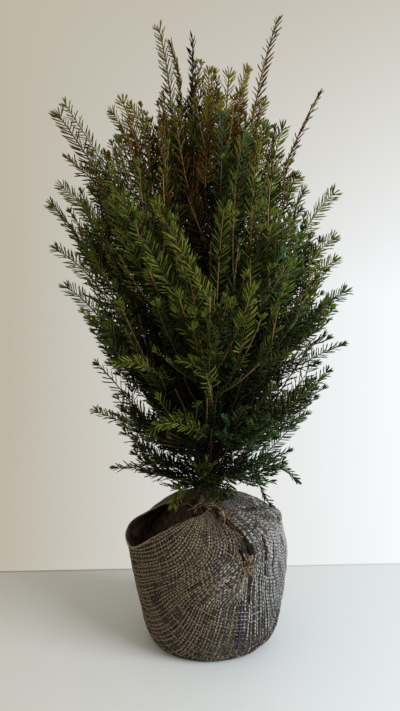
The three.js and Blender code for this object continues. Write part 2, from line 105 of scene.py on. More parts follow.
# Kinds of twig: how far apart they start, their length as a share of what is left of their course and
# at least, their angle in degrees, how far they bend forwards and up, and where the last one starts. The
# source's come first, then long slim ones between them, short ones at the sides of both, and ones that
# fill the middle of the crown from the boughs' bare wood and from the stem.
SOURCE_TWIGS = {
    "every": 45, "share": 0.34, "least": 52, "spread": 46, "along": 0.7, "up": 0.12, "last": 0.82,
}
SLIM_TWIGS = {"share": 0.5, "least": 84, "spread": 30, "along": 0.8, "last": 0.7}
SLIM_EVERY = {"skirt": 30, "lower": 20, "middle": 18, "upper": 18, "leader": 25}
SLIM_UP = {"skirt": 0.0, "lower": 0.2, "middle": 0.7, "upper": 1.1, "leader": 1.2}
SIDE_TWIGS = {"every": 90, "share": 0.3, "least": 34, "spread": 34, "along": 1.0, "up": 0.2, "last": 0.5}
WOOD_TWIGS = {"every": 10, "share": 0.5, "least": 120, "spread": 34, "along": 0.6, "up": 0.6, "last": 1}
HEART_TWIGS = {"every": 3.2, "share": 0.24, "least": 120, "spread": 50, "along": 0.5, "up": 0.3, "last": 1}

# Seeds of the source's plan and twigs, and of the other kinds
PLAN_SEED = 11
SOURCE_SEED = 100
SLIM_SEED = 400
SIDE_SEED = 7000
WOOD_SEED = 900
HEART_SEED = 88

# Long shoots that stand out from the rest, each as places from its base to its tip: those at the edges
# of the crown, then those in front
EDGE_SHOOTS = [
    ((-12, -120, 535), (-34, -176, 585), (-60, -184, 628), (-85, -182, 671), (-115, -168, 726),
     (-137, -150, 768), (-179, -105, 841), (-236, -55, 930)),
    ((-167, 0, 775), (-245, 10, 857)),
    ((-151, -50, 669), (-245, -40, 796)), ((-190, -20, 641), (-270, -10, 771)),
    ((-145, 0, 696), (-214, 20, 774)), ((-187, -40, 629), (-260, -20, 693)),
    ((-94, -90, 757), (-156, -60, 913)), ((-58, -60, 763), (-127, -40, 930)),
    ((-50, 0, 871), (-62, 10, 1055)), ((1, -60, 821), (4, -50, 983)),
    ((57, -50, 840), (67, -40, 990)), ((81, -40, 835), (97, -30, 939)),
    ((132, -20, 762), (161, 0, 821)), ((145, -50, 719), (164, -40, 787)),
    ((154, -40, 690), (221, -20, 790)), ((160, -50, 638), (218, -30, 711)),
    ((166, -30, 619), (228, 0, 676)), ((172, -30, 553), (244, -10, 620)),
    ((162, -40, 492), (240, -10, 526)), ((-175, -40, 562), (-243, -20, 627)),
]
FRONT_SHOOTS = [
    ((42, -135, 714), (65, -90, 882)), ((-3, -110, 780), (3, -70, 925)),
    ((-19, -150, 600), (-77, -150, 743)),
    ((66, -165, 600), (90, -135, 865)), ((96, -152, 620), (118, -120, 868)),
    ((15, -155, 599), (26, -150, 740)), ((104, -120, 537), (142, -110, 656)),
    ((10, -110, 425), (4, -160, 467), (-8, -172, 512), (-15, -184, 576), (-25, -190, 624), (-34, -188, 663),
     (-53, -182, 697), (-76, -168, 741)),
    ((38, -130, 520), (27, -170, 552), (8, -186, 589), (-10, -192, 618), (-26, -194, 647)),
    ((-50, -105, 470), (-73, -150, 482), (-88, -172, 493), (-108, -184, 506), (-133, -188, 504)),
    ((14, -110, 470), (0, -160, 483), (-17, -184, 500), (-39, -192, 507)),
    ((-10, -120, 505), (-22, -168, 538), (-38, -186, 571), (-46, -190, 604)),
    ((42, -115, 480), (50, -165, 520), (58, -182, 571), (62, -186, 613)),
]
SHOOT_ARCH = 0.1
ARCH_HANDLES = ((0.35, 0.6), (0.72, 1))

# Low sprays that curve over or hang
LOW_SPRAYS = [
    ((0, -130, 383), (-22, -150, 399), (-45, -158, 410), (-68, -160, 410), (-84, -156, 400)),
    ((-17, -140, 405), (-39, -150, 421), (-61, -152, 413)),
    ((-105, -60, 385), (-150, -52, 398), (-190, -40, 412)),
    ((-71, -50, 332), (-112, -56, 318), (-153, -60, 317)),
    ((46, -20, 297), (77, -30, 315), (99, -35, 332), (128, -40, 362), (163, -40, 400)),
    ((56, -25, 305), (87, -35, 315), (115, -40, 328), (142, -40, 341)),
    ((90, -45, 314), (116, -55, 320), (138, -60, 312), (152, -60, 298)),
    ((78, -20, 304), (88, -24, 291), (97, -28, 274), (102, -34, 258), (109, -40, 251)),
    ((-30, -48, 305), (-47, -72, 283), (-55, -85, 262)),
    ((12, -50, 300), (22, -68, 290), (28, -80, 276)),
    ((0, -60, 310), (6, -78, 294), (8, -88, 280)),
    ((30, -50, 308), (38, -72, 293), (40, -84, 279)),
    ((-12, -58, 308), (-20, -78, 293), (-24, -90, 281)),
]

# How far twigs reach from the middle of the crown at each height, to its right and to its left
CROWN_HEIGHTS = (240, 300, 372, 445, 517, 588, 660, 730, 792, 856, 893, 925, 955, 1110)
REACH_RIGHT = (84, 132, 168, 198, 232, 238, 210, 190, 168, 150, 132, 105, 45, 1)
REACH_LEFT = (84, 114, 152, 175, 203, 216, 226, 236, 234, 204, 172, 135, 50, 1)
LEADS_BEYOND = 1.08
LEADING_TRIES = 41
INNER_SHARE = 0.6
INNER_SHARE_HIGH = 0.2
INNER_FADES = (520, 740)

# How far apart needles stand, how much of a shoot's foot is bare, by its order, and the tuft at its tip
FLAT_PITCH = 4.0
ERECT_PITCH = 4.5
INNER_PITCH = 3.2
LEADING_PITCH = 2.8
LONG_PITCH = 2.0
PITCH_STRAY = 0.6
FEWEST_NEEDLES = 6
ERECT_FADES = (0.5, 0.95)
BARE_FOOT = (0.02, 0.04, 0.06)
TUFT = 9
TUFT_DEPTH = 2.5

# How far needles lie in two flat ranks instead of a spiral, and how far the ranks roll about the shoot
FLAT_RANKED = 0.85
ERECT_RANKED = 0.5
LONG_RANKED = 0.6
FLAT_ROLL = 0.35
ERECT_ROLL = 1.0
LONG_ROLL = 0.2

# How needles stand, in degrees, and how far they bend towards the shoot's tip
RANK_LIFT = (-8, 46)
FOOT_LEAN = 60
TIP_LEAN = 46
LEAN_STRAY = 8
TUFT_LEAN = (6, 58)
NEEDLE_TWIST = 40
NEEDLE_BEND = (0.18, 0.5)

# Size of needles. They shorten towards a shoot's tip to a share of their length, by a power.
NEEDLE_LENGTH = 25
LENGTH_VARIES = (0.86, 1.1)
LEADING_LENGTH = 1.22
HIGH_LENGTH = 0.88
HIGH_FADES = (780, 960)
SHORTENS = (0.55, 4)
LONG_SHORTENS = (0.75, 6)
NEEDLE_PARTS = (0.16, 0.62, 0.24)
BLADE_WIDTHS = (0.8, 0.95)
NEEDLE_HALF_WIDTH = 1.2
BLADE_VARIES = (0.8, 1.05)
SHORT_BLADE = 10
LONG_BLADE = 22
NEEDLE_RIDGE = 1.1
INNER_HALF_WIDTH = 1.9

# Faces of a needle's mesh, upper ones first: a blade with a ridge, and a lens deep in the crown
BLADE_FACES = [
    (0, 1, 2), (0, 2, 3), (1, 4, 5), (1, 5, 2), (2, 5, 6), (2, 6, 3), (4, 7, 5), (5, 7, 6),
    (0, 3, 1), (1, 3, 6), (1, 6, 4), (4, 6, 7),
]
BLADE_UPPER = 8
LENS_FACES = [(0, 1, 2), (0, 2, 3), (1, 4, 2), (2, 4, 3), (0, 3, 1), (1, 3, 4)]
LENS_UPPER = 4

# Shoots as they are drawn. Their radii at foot and tip, and their steps and sides, go by their order.
# Long ones have their own size of needles and radius at the foot, high up and low down.
CROWN_SEED = 5
SHOOT_RADII = ((BOUGH_TIP_RADIUS, 1.0), (1.4, 0.8), (1.0, 0.6))
SHOOT_GRIDS = ((12, 5), (7, 4), (4, 3))
SHOOT_POINT = 1.5
SIZE_VARIES = (0.82, 1.08)
HIGH_LONG_SIZES = (0.78, 1.5)
LOW_LONG_SIZES = (0.76, 1.2)
LONG_IS_LOW = 420
LONG_IS_LEADING = 600


def seeded(seed):
    """Numbers from 0 to 1 that are the same each time for the same seed, as in the part's source."""
    mask = 0xFFFFFFFF
    state = seed & mask

    def draw():
        nonlocal state
        state = (state + 0x6D2B79F5) & mask
        t = ((state ^ (state >> 15)) * (state | 1)) & mask
        t ^= (t + (((t ^ (t >> 7)) * (t | 61)) & mask)) & mask
        return (t ^ (t >> 14)) / 4294967296

    return draw


def mix(a, b, share):
    return a + (b - a) * share


def smooth(low, high, value):
    share = np.clip((value - low) / (high - low), 0, 1)
    return share * share * (3 - 2 * share)


def unit(vectors):
    return vectors / np.linalg.norm(vectors, axis=-1, keepdims=True)


def dot(a, b):
    return (a * b).sum(axis=-1, keepdims=True)


def around(turn, distance, height):
    """Points round the axis, from their place round it in degrees, distance from it and height."""
    angle = np.radians(turn)
    x, y = distance * np.cos(angle), distance * np.sin(angle)
    return np.stack(np.broadcast_arrays(x, y, height), axis=-1)


def from_axis(points):
    """The distance of points from the plant's axis."""
    return np.hypot(points[..., 0], points[..., 1])


def turn_of(points):
    """Where points are round the axis, in degrees."""
    return np.degrees(np.arctan2(points[..., 1], points[..., 0]))


def level_out(points):
    """The level way out from the axis at points."""
    return unit(points * (1, 1, 0) + (0, 0, 1e-6))


def ring_ways(side, back, angle):
    """The ways out all round a course, at angles from its side."""
    return side[:, None] * np.cos(angle)[:, None] - back[:, None] * np.sin(angle)[:, None]


def heading(turn, rise):
    """A way that rises at an angle, out from the stem at a place round it."""
    angle = math.radians(rise)
    return around(turn, math.cos(angle), math.sin(angle))


def smooth_line(points):
    """A smooth line of points through a few places."""
    places = np.array(points, float)
    share = np.linspace(0, len(places) - 1, LINE_STEPS * len(places))
    line = np.stack([np.interp(share, np.arange(len(places)), places[:, i]) for i in range(3)], axis=-1)
    for _ in range(LINE_ROUNDS):
        line[1:-1] = (line[:-2] + 2 * line[1:-1] + line[2:]) / 4
    return line


class Course:
    """A line of points with the way it runs and a steady sideways direction at each."""

    def __init__(self, points, side):
        self.points = np.array(points, float)
        ahead = np.vstack([self.points[1:], self.points[-1:]])
        behind = np.vstack([self.points[:1], self.points[:-1]])
        self.ways = unit(ahead - behind)
        sides = []
        last = np.array(side, float)
        for way in self.ways:
            last = unit(last - way * (last @ way))
            sides.append(last)
        self.sides = np.array(sides)
        self.length = np.linalg.norm(np.diff(self.points, axis=0), axis=1).sum()

    def at(self, shares):
        """The places, ways, sides and backs at shares of the course."""
        place = np.clip(shares, 0, 1) * (len(self.points) - 1)
        i = np.minimum(place.astype(int), len(self.points) - 2)
        part = (place - i)[..., None]
        way = unit(mix(self.ways[i], self.ways[i + 1], part))
        side = mix(self.sides[i], self.sides[i + 1], part)
        side = unit(side - way * dot(side, way))
        return mix(self.points[i], self.points[i + 1], part), way, side, np.cross(side, way)

    def part(self, start, end, steps):
        points, _, sides, _ = self.at(mix(start, end, np.arange(steps + 1) / steps))
        return Course(points, sides[0])


def bezier(points, steps):
    """Points along a curve with three or four handles."""
    t = (np.arange(steps + 1) / steps)[:, None]
    rows = [np.array(p, float) for p in points]
    while len(rows) > 1:
        rows = [mix(a, b, t) for a, b in zip(rows, rows[1:])]
    return rows[0]


# The plan of the crown, as in the part's source

stem_course = Course(bezier([(0, 0, STEM_FOOT - STEM_BURIED), STEM_BEND, STEM_TOP], CURVE_STEPS), (1, 0, 0))


def stem_radius(share):
    flare = np.maximum(0, 1 - share * stem_course.length / FLARE_HEIGHT)
    return mix(STEM_RADIUS, STEM_TIP_RADIUS, share) + (FLARE_RADIUS - STEM_RADIUS) * flare * flare


def bough_course(bough):
    """One bough's whole course, from inside the stem to the tip of its foliage."""
    turn = bough["turn"]
    start = stem_course.at(np.array((bough["foot"] - STEM_FOOT) / (STEM_TOP[2] - STEM_FOOT)))[0]
    finish = around(turn, bough["reach"], bough["tip"])
    span = np.linalg.norm(finish - start) * CURVE_HANDLE
    side = around(turn + 90, 1, 0)
    bow = side * bough["bow"]
    leave = start + heading(turn, bough["rise"][0]) * span + bow
    arrive = finish - heading(turn, bough["rise"][1]) * span + bow
    return Course(bezier([start, leave, arrive, finish], CURVE_STEPS), side)


def crown_plan():
    random = seeded(PLAN_SEED)

    def stray(size):
        return (random() - 0.5) * 2 * size

    plan = []
    for tier in TIERS:
        for k in range(BOUGHS_A_TIER):
            plan.append({
                "tier": tier["name"],
                "name": f"{tier['name']}_{k + 1}",
                "turn": tier["turn"] + k * 360 / BOUGHS_A_TIER + stray(TURN_STRAY),
                "foot": tier["foot"] + ((k * 2) % BOUGHS_A_TIER) / BOUGHS_A_TIER * tier["climb"],
                "tip": tier["tip"] + stray(TIP_STRAY),
                "reach": tier["reach"] + stray(REACH_STRAY),
                "rise": tier["rise"],
                "bow": stray(REACH_STRAY),
                "bare": tier["bare"],
            })
    for k, (turn, reach, tip) in enumerate(LEADERS):
        plan.append({
            "tier": "leader",
            "name": f"leader_{k + 1}",
            "turn": turn,
            "foot": LEADER_FOOT + k * LEADER_CLIMB,
            "tip": tip,
            "reach": reach,
            "rise": (LEADER_LEAVE, LEADER_UPRIGHT - LEADER_LEAN * reach / HALF_WIDTH),
            "bow": stray(REACH_STRAY),
            "bare": LEADER_BARE,
        })
    return plan


def grow_boughs():
    """Each bough's bare wood and the course of its foliage."""
    plan = crown_plan()
    for index, bough in enumerate(plan):
        whole = bough_course(bough)
        bough["index"] = index
        bough["wooden"] = whole.part(0, bough["bare"], WOODEN_STEPS) if bough["bare"] else None
        start = bough["bare"] if bough["bare"] else STEM_RADIUS / 2 / whole.length
        bough["leafy"] = whole.part(start, 1, LEAFY_STEPS)
    return plan


def nearest(points, courses):
    """The distance of each point from each course."""
    starts = np.concatenate([c.points[:-1] for c in courses])
    ends = np.concatenate([c.points[1:] for c in courses])
    runs = ends - starts
    rel = points[:, None] - starts
    share = np.clip((rel * runs).sum(-1) / (runs * runs).sum(-1), 0, 1)
    apart = np.linalg.norm(rel - runs * share[..., None], axis=-1)
    bounds = np.cumsum([0] + [len(c.points) - 1 for c in courses[:-1]])
    return np.minimum.reduceat(apart, bounds, axis=1)


def keeps_to_space(points, own, boughs):
    """True if points keep to one mass's own space: nearest to its course, and clear of the wood."""
    apart = nearest(points, [b["leafy"] for b in boughs])
    near = apart[:, own["index"]].copy()
    apart[:, own["index"]] = np.inf
    if (apart.min(axis=1) < near + CELL_GAP).any():
        return False
    wood = nearest(points, [b["wooden"] for b in boughs if b["wooden"]])
    if (wood < BOUGH_RADIUS + WOOD_GAP).any():
        return False
    return (nearest(points, [stem_course]) > STEM_RADIUS + WOOD_GAP).all()


def twig_starts(course, random, kind):
    """The twigs of a leafy course: they alternate round it, lean forwards and shorten towards its tip."""
    made = []
    count = round(course.length / kind["every"])
    for k in range(count):
        share = mix(FIRST_TWIG, kind["last"], (k + TWIG_STRAY * random()) / count)
        point, way, side, back = course.at(np.array(share))
        turn = math.radians(k * GOLDEN_TURN + TWIG_TURN_STRAY * random())
        erect = mix(FLATNESS, 1, abs(way[2]))
        out = unit(side * math.cos(turn) + back * math.sin(turn) * erect)
        spread = math.radians(kind["spread"] + SPREAD_STRAY * (random() - 0.5))
        first = way * math.cos(spread) + out * math.sin(spread)
        later = unit(first + way * kind["along"] + UP * kind["up"])
        full = course.length * kind["share"] * (1 - share) + kind["least"]
        full = full * mix(*TWIG_VARIES, random())
        made.append((point, first, later, full, unit(np.cross(way, first))))
    return made


def twig_course(twig, share):
    point, first, later, full, faces = twig
    elbow = point + first * full * share / 2
    end = elbow + later * full * share / 2
    return Course(bezier([point, elbow, end], TWIG_STEPS), np.cross(later, faces))


def crown_reach(points):
    """How far the crown reaches from its middle at the height and on the side of each point."""
    right = np.interp(points[:, 2], CROWN_HEIGHTS, REACH_RIGHT)
    left = np.interp(points[:, 2], CROWN_HEIGHTS, REACH_LEFT)
    across = points[:, 0] / np.maximum(1, from_axis(points))
    return mix(left, right, (1 + across) / 2)


def fitting_course(twig, own=None, boughs=None):
    """The longest form of a twig that keeps within the crown, and to one mass's own space if it's given."""
    for share in SHORTER:
        course = twig_course(twig, share)
        end = course.points[-2:]
        within = (from_axis(end) < crown_reach(end)).all()
        if within and (own is None or keeps_to_space(course.points[1:], own, boughs)):
            return course
    return None


def leading_course(own):
    """The shoot that ends a bough. Only the leaders' stand out of the crown."""
    if own["tier"] == "leader":
        return own["leafy"]
    shares = np.linspace(0, 1, LEADING_TRIES)
    points = own["leafy"].at(shares)[0]
    inside = from_axis(points) < crown_reach(points) * LEADS_BEYOND
    return own["leafy"].part(0, shares[inside].max(), LEAFY_STEPS)


def grow_shoots(boughs):
    """Every leafy shoot: each mass's leading shoot, the source's twigs, finer ones and their side twigs."""
    shoots = []

    def add(own, order, course, is_long=False):
        if course is not None:
            shoots.append({"own": own, "order": order, "course": course, "long": is_long})

    for own in boughs:
        index = own["index"]
        add(own, 0, leading_course(own))
        sources = twig_starts(own["leafy"], seeded(SOURCE_SEED + index), SOURCE_TWIGS)
        slim = {**SLIM_TWIGS, "up": SLIM_UP[own["tier"]], "every": SLIM_EVERY[own["tier"]]}
        slims = twig_starts(own["leafy"], seeded(SLIM_SEED + index), slim)
        for k, twig in enumerate(sources + slims):
            course = fitting_course(twig, own, boughs) if k < len(sources) else fitting_course(twig)
            if course is None:
                continue
            add(own, 1, course)
            for side_twig in twig_starts(course, seeded(SIDE_SEED + index * 100 + k), SIDE_TWIGS):
                add(own, 2, fitting_course(side_twig, own, boughs))
        if own["wooden"]:
            for twig in twig_starts(own["wooden"], seeded(WOOD_SEED + index), WOOD_TWIGS):
                add(own, 1, fitting_course(twig))
    for k, twig in enumerate(twig_starts(stem_course, seeded(HEART_SEED), HEART_TWIGS)):
        add(boughs[k % len(boughs)], 1, fitting_course(twig))
    for places in EDGE_SHOOTS + FRONT_SHOOTS + LOW_SPRAYS:
        course = long_shoot(np.array(places, float))
        own = boughs[nearest(course.points[:1], [b["leafy"] for b in boughs])[0].argmin()]
        add(own, 1, course, is_long=True)
    return shoots


def long_shoot(places):
    """A long shoot through a few places. One with only two arches outwards towards its tip."""
    run = places[-1] - places[0]
    out = level_out(places[-1])
    if len(places) > 2:
        return Course(smooth_line(places), np.cross(run, out))
    sag = -out * np.linalg.norm(run) * SHOOT_ARCH
    handles = [places[0] + run * along + sag * depth for along, depth in ARCH_HANDLES]
    return Course(bezier([places[0], *handles, places[1]], 10), np.cross(run, out))


def is_inner(points):
    """True if a shoot stands deep in the crown, where its needles only close the view."""
    share = mix(INNER_SHARE, INNER_SHARE_HIGH, smooth(*INNER_FADES, points[:, 2]))
    return (from_axis(points) < share * crown_reach(points)).mean() > 0.5


def is_leading(shoot):
    """True for the shoots that end a leading bough and the long ones that stand out high up."""
    if shoot["long"]:
        return shoot["course"].points[-1][2] > LONG_IS_LEADING
    return shoot["order"] == 0 and shoot["own"]["tier"] == "leader"


def needle_pitch(shoot, erect):
    """How far apart a shoot's needles stand."""
    if shoot["long"]:
        return LONG_PITCH
    if is_leading(shoot):
        return LEADING_PITCH
    return INNER_PITCH if shoot["inner"] else mix(FLAT_PITCH, ERECT_PITCH, erect)


def needle_rows(shoot, random):
    """Where each needle of a shoot stands: its base, way out, way at its tip, upper face, length, and its
    share of the way along the shoot."""
    course = shoot["course"]
    erect = smooth(*ERECT_FADES, abs(course.ways[2][2]))
    leading = is_leading(shoot)
    in_open = shoot["long"] or leading
    count = max(FEWEST_NEEDLES, int(course.length / needle_pitch(shoot, erect)))
    bare = BARE_FOOT[shoot["order"]]
    share = bare + (1 - bare) * (np.arange(count) + random.random(count) * PITCH_STRAY) / count
    tuft = 0 if shoot["inner"] else TUFT
    share = np.concatenate([share, 1 - TUFT_DEPTH * random.random(tuft) / course.length])
    point, way, _, _ = course.at(share)
    outward = UP + level_out(point)
    roll = random.normal(0, LONG_ROLL if shoot["long"] else mix(FLAT_ROLL, ERECT_ROLL, erect))
    up = unit(outward - way * dot(outward, way))
    side = np.cross(way, up)
    up, side = up * math.cos(roll) + side * math.sin(roll), side * math.cos(roll) - up * math.sin(roll)
    spiral = np.radians(np.arange(len(share)) * GOLDEN_TURN + random.random() * 360)
    ranked = LONG_RANKED if in_open else mix(FLAT_RANKED, ERECT_RANKED, erect)
    lift = np.radians(random.uniform(*RANK_LIFT, len(share)))
    rank = np.where(np.cos(spiral) > 0, lift, np.pi - lift)
    across = np.cos(spiral) * (1 - ranked) + np.cos(rank) * ranked
    above = np.sin(spiral) * (1 - ranked) + np.sin(rank) * ranked
    out = unit(side * across[:, None] + up * above[:, None])
    lean = mix(FOOT_LEAN, TIP_LEAN, smooth(0.0, 1.0, share))
    lean = np.radians(lean + random.uniform(-LEAN_STRAY, LEAN_STRAY, len(share)))
    if tuft:
        lean[-tuft:] = np.radians(random.uniform(*TUFT_LEAN, tuft))
    first = way * np.cos(lean)[:, None] + out * np.sin(lean)[:, None]
    later = unit(first + way * random.uniform(*NEEDLE_BEND, len(share))[:, None])
    towards_tip = unit(way - first * dot(way, first))
    skyward = unit(up - first * dot(up, first))
    face = unit(mix(towards_tip, skyward, ranked))
    face = unit(face - first * dot(face, first))
    twist = np.radians(random.uniform(-NEEDLE_TWIST, NEEDLE_TWIST, len(share)))[:, None]
    face = face * np.cos(twist) + np.cross(first, face) * np.sin(twist)
    at_tip, power = LONG_SHORTENS if in_open else SHORTENS
    small = mix(1, HIGH_LENGTH, smooth(*HIGH_FADES, point[:, 2]))
    shorter = mix(1, at_tip, share ** power)
    long = NEEDLE_LENGTH * small * shorter * random.uniform(*LENGTH_VARIES, len(share)) * shoot["size"]
    if leading:
        long = long * LEADING_LENGTH
    return point, first, later, face, long, share


def blade_corners(point, first, later, face, long):
    """The corners of needles, each a slim blade with a ridge along its upper face."""
    across = np.cross(first, face)
    foot, middle, end = ((long * part)[:, None] for part in NEEDLE_PARTS)
    one = point + first * foot
    two = one + unit(first + later) * middle
    half = NEEDLE_HALF_WIDTH * mix(*BLADE_VARIES, (long - SHORT_BLADE) / (LONG_BLADE - SHORT_BLADE))
    low, high = (across * half[:, None] * part for part in BLADE_WIDTHS)
    ridge = face * NEEDLE_RIDGE
    return np.stack([
        point, one - low, one + ridge, one + low, two - high, two + ridge, two + high, two + later * end,
    ], axis=1)


def lens_corners(point, first, later, face, long):
    """The corners of needles deep in the crown, each a slim lens."""
    wide = np.cross(first, face) * INNER_HALF_WIDTH
    way = unit(first + later)
    middle = point + way * (long * 0.5)[:, None]
    return np.stack([
        point, middle - wide, middle + face * NEEDLE_RIDGE, middle + wide, point + way * long[:, None],
    ], axis=1)


def skin(rings, start, end):
    """Corners and faces of a closed tube, from its rings of corners and the point at each of its ends."""
    count, sides = rings.shape[:2]
    number = np.arange(count * sides).reshape(count, sides)
    after = np.roll(number, -1, axis=1)
    a, b, c, d = number[:-1], after[:-1], after[1:], number[1:]
    first, last = np.full(sides, count * sides), np.full(sides, count * sides + 1)
    faces = [(a, b, c), (a, c, d), (first, after[0], number[0]), (last, number[-1], after[-1])]
    corners = np.vstack([rings.reshape(-1, 3), start, end])
    return corners, np.vstack([np.stack(face, axis=-1).reshape(-1, 3) for face in faces])


def tube(course, foot, tip, steps, sides):
    """A round-sided twig with a pointed tip, from its radii at foot and tip."""
    share = np.arange(steps + 1) / steps
    point, _, side, back = course.at(share)
    angle = np.arange(sides) * 2 * np.pi / sides
    rings = point[:, None] + ring_ways(side, back, angle) * mix(foot, tip, share)[:, None, None]
    return skin(rings, point[0], point[-1] + course.ways[-1] * SHOOT_POINT)


def add_object(name, data):
    piece = bpy.data.objects.new(name, data)
    bpy.context.scene.collection.objects.link(piece)
    return piece


def choose(*pieces):
    """Makes these the selected pieces, and the first of them the active one."""
    bpy.ops.object.select_all(action="DESELECT")
    for piece in pieces:
        piece.select_set(True)
    bpy.context.view_layer.objects.active = pieces[0]


def mesh_piece(name, parts, materials):
    """One object from parts, each its corners in millimetres, its faces and their material's number."""
    corners, faces, finishes, start = [], [], [], 0
    for part_corners, part_faces, finish in parts:
        corners.append(part_corners)
        faces.append(part_faces + start)
        finishes.append(np.broadcast_to(finish, len(part_faces)))
        start += len(part_corners)
    corners = np.vstack(corners) * MM
    faces = np.vstack(faces)
    mesh = bpy.data.meshes.new(name)
    mesh.vertices.add(len(corners))
    mesh.vertices.foreach_set("co", corners.astype(np.float32).ravel())
    mesh.loops.add(faces.size)
    mesh.loops.foreach_set("vertex_index", faces.astype(np.int32).ravel())
    mesh.polygons.add(len(faces))
    mesh.polygons.foreach_set("loop_start", np.arange(len(faces), dtype=np.int32) * 3)
    mesh.polygons.foreach_set("material_index", np.concatenate(finishes).astype(np.int32))
    for material in materials:
        mesh.materials.append(material)
    mesh.update(calc_edges=True)
    return add_object(name, mesh)


def plain_material(name, colour, roughness, specular=0.5):
    material = bpy.data.materials.new(name)
    material.use_nodes = True
    shader = material.node_tree.nodes["Principled BSDF"]
    shader.inputs["Base Color"].default_value = (*colour, 1)
    shader.inputs["Roughness"].default_value = roughness
    shader.inputs["Specular IOR Level"].default_value = specular
    return material


NEEDLE_TINTS = [
    # The darkest green is painted shade, for needles deep in the crown and in dim sprays
    ("needle_painted_shade", (0.006, 0.010, 0.002)),
    ("needle_mid", (0.017, 0.029, 0.003)),
    ("needle_olive", (0.092, 0.118, 0.014)),
    ("needle_bronze", (0.076, 0.046, 0.005)),
    ("needle_gold", (0.138, 0.120, 0.011)),
    ("needle_under", (0.058, 0.076, 0.016)),
    # The cool green is painted cool light and sheen, low on the right
    ("needle_cool_painted_light", (0.048, 0.100, 0.034)),
    # The palest green is painted light, for the most lit long shoots in front
    ("needle_painted_lit", (0.150, 0.168, 0.022)),
]
PAINTED_SHADE, MID, OLIVE, BRONZE, GOLD, UNDER, COOL_PAINTED_LIGHT, PAINTED_LIT = range(8)
TWIG_TINTS = [
    ("twig_brown", (0.050, 0.026, 0.014)),
    ("twig_orange", (0.210, 0.105, 0.042)),
]

# Share of the twigs that are orange: of short and long shoots, less by a factor below some height
ORANGE_SHARE = 0.5
LONG_ORANGE_SHARE = 0.8
ORANGE_BELOW = 0.1
ORANGE_FADES = (400, 640)

# Long shoots take the tint of one place along them. Those in front of a place are the most lit, unless
# they hang low, and those that hang low on the right are in shade.
LONG_TINT_AT = 0.7
LIT_IN_FRONT = -85
LIT_LIGHT = 0.22
LIT_FADES = (0.1, 0.4)
LIT_OLIVE = 0.6
HANGS_BELOW = 300
HANGS_IN_SHADE = -40

# Where the other sprays change: lighter outside, partly painted light, bronze high up, painted cool light
# low on the right, and painted shade (dim) low on the left
OUTSIDE_FADES = (0.6, 0.95)
BRONZE_FADES = (725, 935)
GOLD_FROM = (0.6, 0.9)
COOL_FADES = (360, 640)
DIM_FADES = (640, 420)
BRONZE_ACROSS = (-60, 130)
BRONZE_ON_RIGHT = 0.65
BRONZE_INSIDE = 0.5
COOL_SHARES = (0.95, 0.3)
COOL_ACROSS = (-20, 100)
COOL_INSIDE = 0.4
DIM_ACROSS = (10, 110)

# Share of the green sprays that are mid green, not painted shade, and how far down from the tips their
# olive goes
# The olive is partly the shoots' lighter tips and partly painted light: less of it inside, on the dim left
# and in the middle
MID_INSIDE = 0.2
MID_OUTSIDE = 0.7
MID_IF_DIM = 0.35
LONG_OLIVE = 0.9
SHORT_OLIVE = 0.45
OLIVE_IF_DIM = 0.5
OLIVE_IN_MIDDLE = 0.5
OLIVE_ACROSS = (30, 120)
UNDER_FROM = 0.6


def spray_tints(shoot, share, random):
    """The tint of each needle's upper face, then of the under faces: painted shade in the crown's depth,
    olive towards a tip outside, partly painted light, bronze high up, painted cool light low on the right
    and painted shade low on the left."""
    course = shoot["course"]
    # Shoots deep in the crown get painted shade on both faces
    if shoot["inner"]:
        return np.full(len(share), PAINTED_SHADE), PAINTED_SHADE
    tip = course.at(np.array([LONG_TINT_AT]))[0][0] if shoot["long"] else course.points[-1]
    x, y, z = tip
    shade = 1.0 if shoot["long"] else smooth(*OUTSIDE_FADES, from_axis(tip) / crown_reach(tip[None])[0])
    # The most lit long shoots in front are painted lit: olive with patches of the palest green
    if shoot["long"] and y < LIT_IN_FRONT and z > HANGS_BELOW:
        draw = random.random(len(share))
        rest = np.where(draw < LIT_OLIVE, OLIVE, MID)
        return np.where(draw < LIT_LIGHT * smooth(*LIT_FADES, share), PAINTED_LIT, rest), MID
    if shoot["long"] and z < HANGS_BELOW and x > HANGS_IN_SHADE:
        return np.full(len(share), MID), PAINTED_SHADE
    high = smooth(*BRONZE_FADES, z)
    on_right = smooth(*BRONZE_ACROSS, x) * (1 - high)
    bronze = high * mix(1, BRONZE_ON_RIGHT, on_right) * mix(BRONZE_INSIDE, 1, shade)
    if random.random() < bronze:
        return np.where(share > random.uniform(*GOLD_FROM), GOLD, BRONZE), BRONZE
    # Low on the right, sprays are painted with the cool light that comes from the right
    cool = mix(*COOL_SHARES, smooth(*COOL_FADES, z)) * smooth(*COOL_ACROSS, x)
    cool = cool * mix(COOL_INSIDE, 1, shade) * (1 - high)
    if random.random() < cool:
        return np.full(len(share), COOL_PAINTED_LIGHT), MID
    # Low on the left the sprays are painted dim, as shade: more of the darkest green, less olive, no pale
    # under faces
    dim = smooth(*DIM_FADES, z) * (1 - smooth(*DIM_ACROSS, x))
    mid = (MID_INSIDE + shade * MID_OUTSIDE) * mix(1, MID_IF_DIM, dim) + high
    base = MID if random.random() < mid else PAINTED_SHADE
    if shoot["long"]:
        olive = LONG_OLIVE
    else:
        # Olive tips reach less far in the crown's depth, on the dim left and in the middle, as painted
        # shade
        olive = SHORT_OLIVE * shade * random.random() * mix(1, OLIVE_IF_DIM, dim)
        olive = olive * mix(OLIVE_IN_MIDDLE, 1, smooth(*OLIVE_ACROSS, abs(x)))
    under = UNDER if shade > UNDER_FROM and random.random() > dim else MID
    return np.where(share > 1 - olive, OLIVE, base), under


def crown_part(bough):
    """The part of the crown that a bough's mass goes with."""
    turn = math.radians(bough["turn"])
    half = "back" if math.sin(turn) > 0 else "front"
    if bough["tier"] == "leader":
        half += "_right" if math.cos(turn) > 0 else "_left"
    return f"{bough['tier']}_{half}"


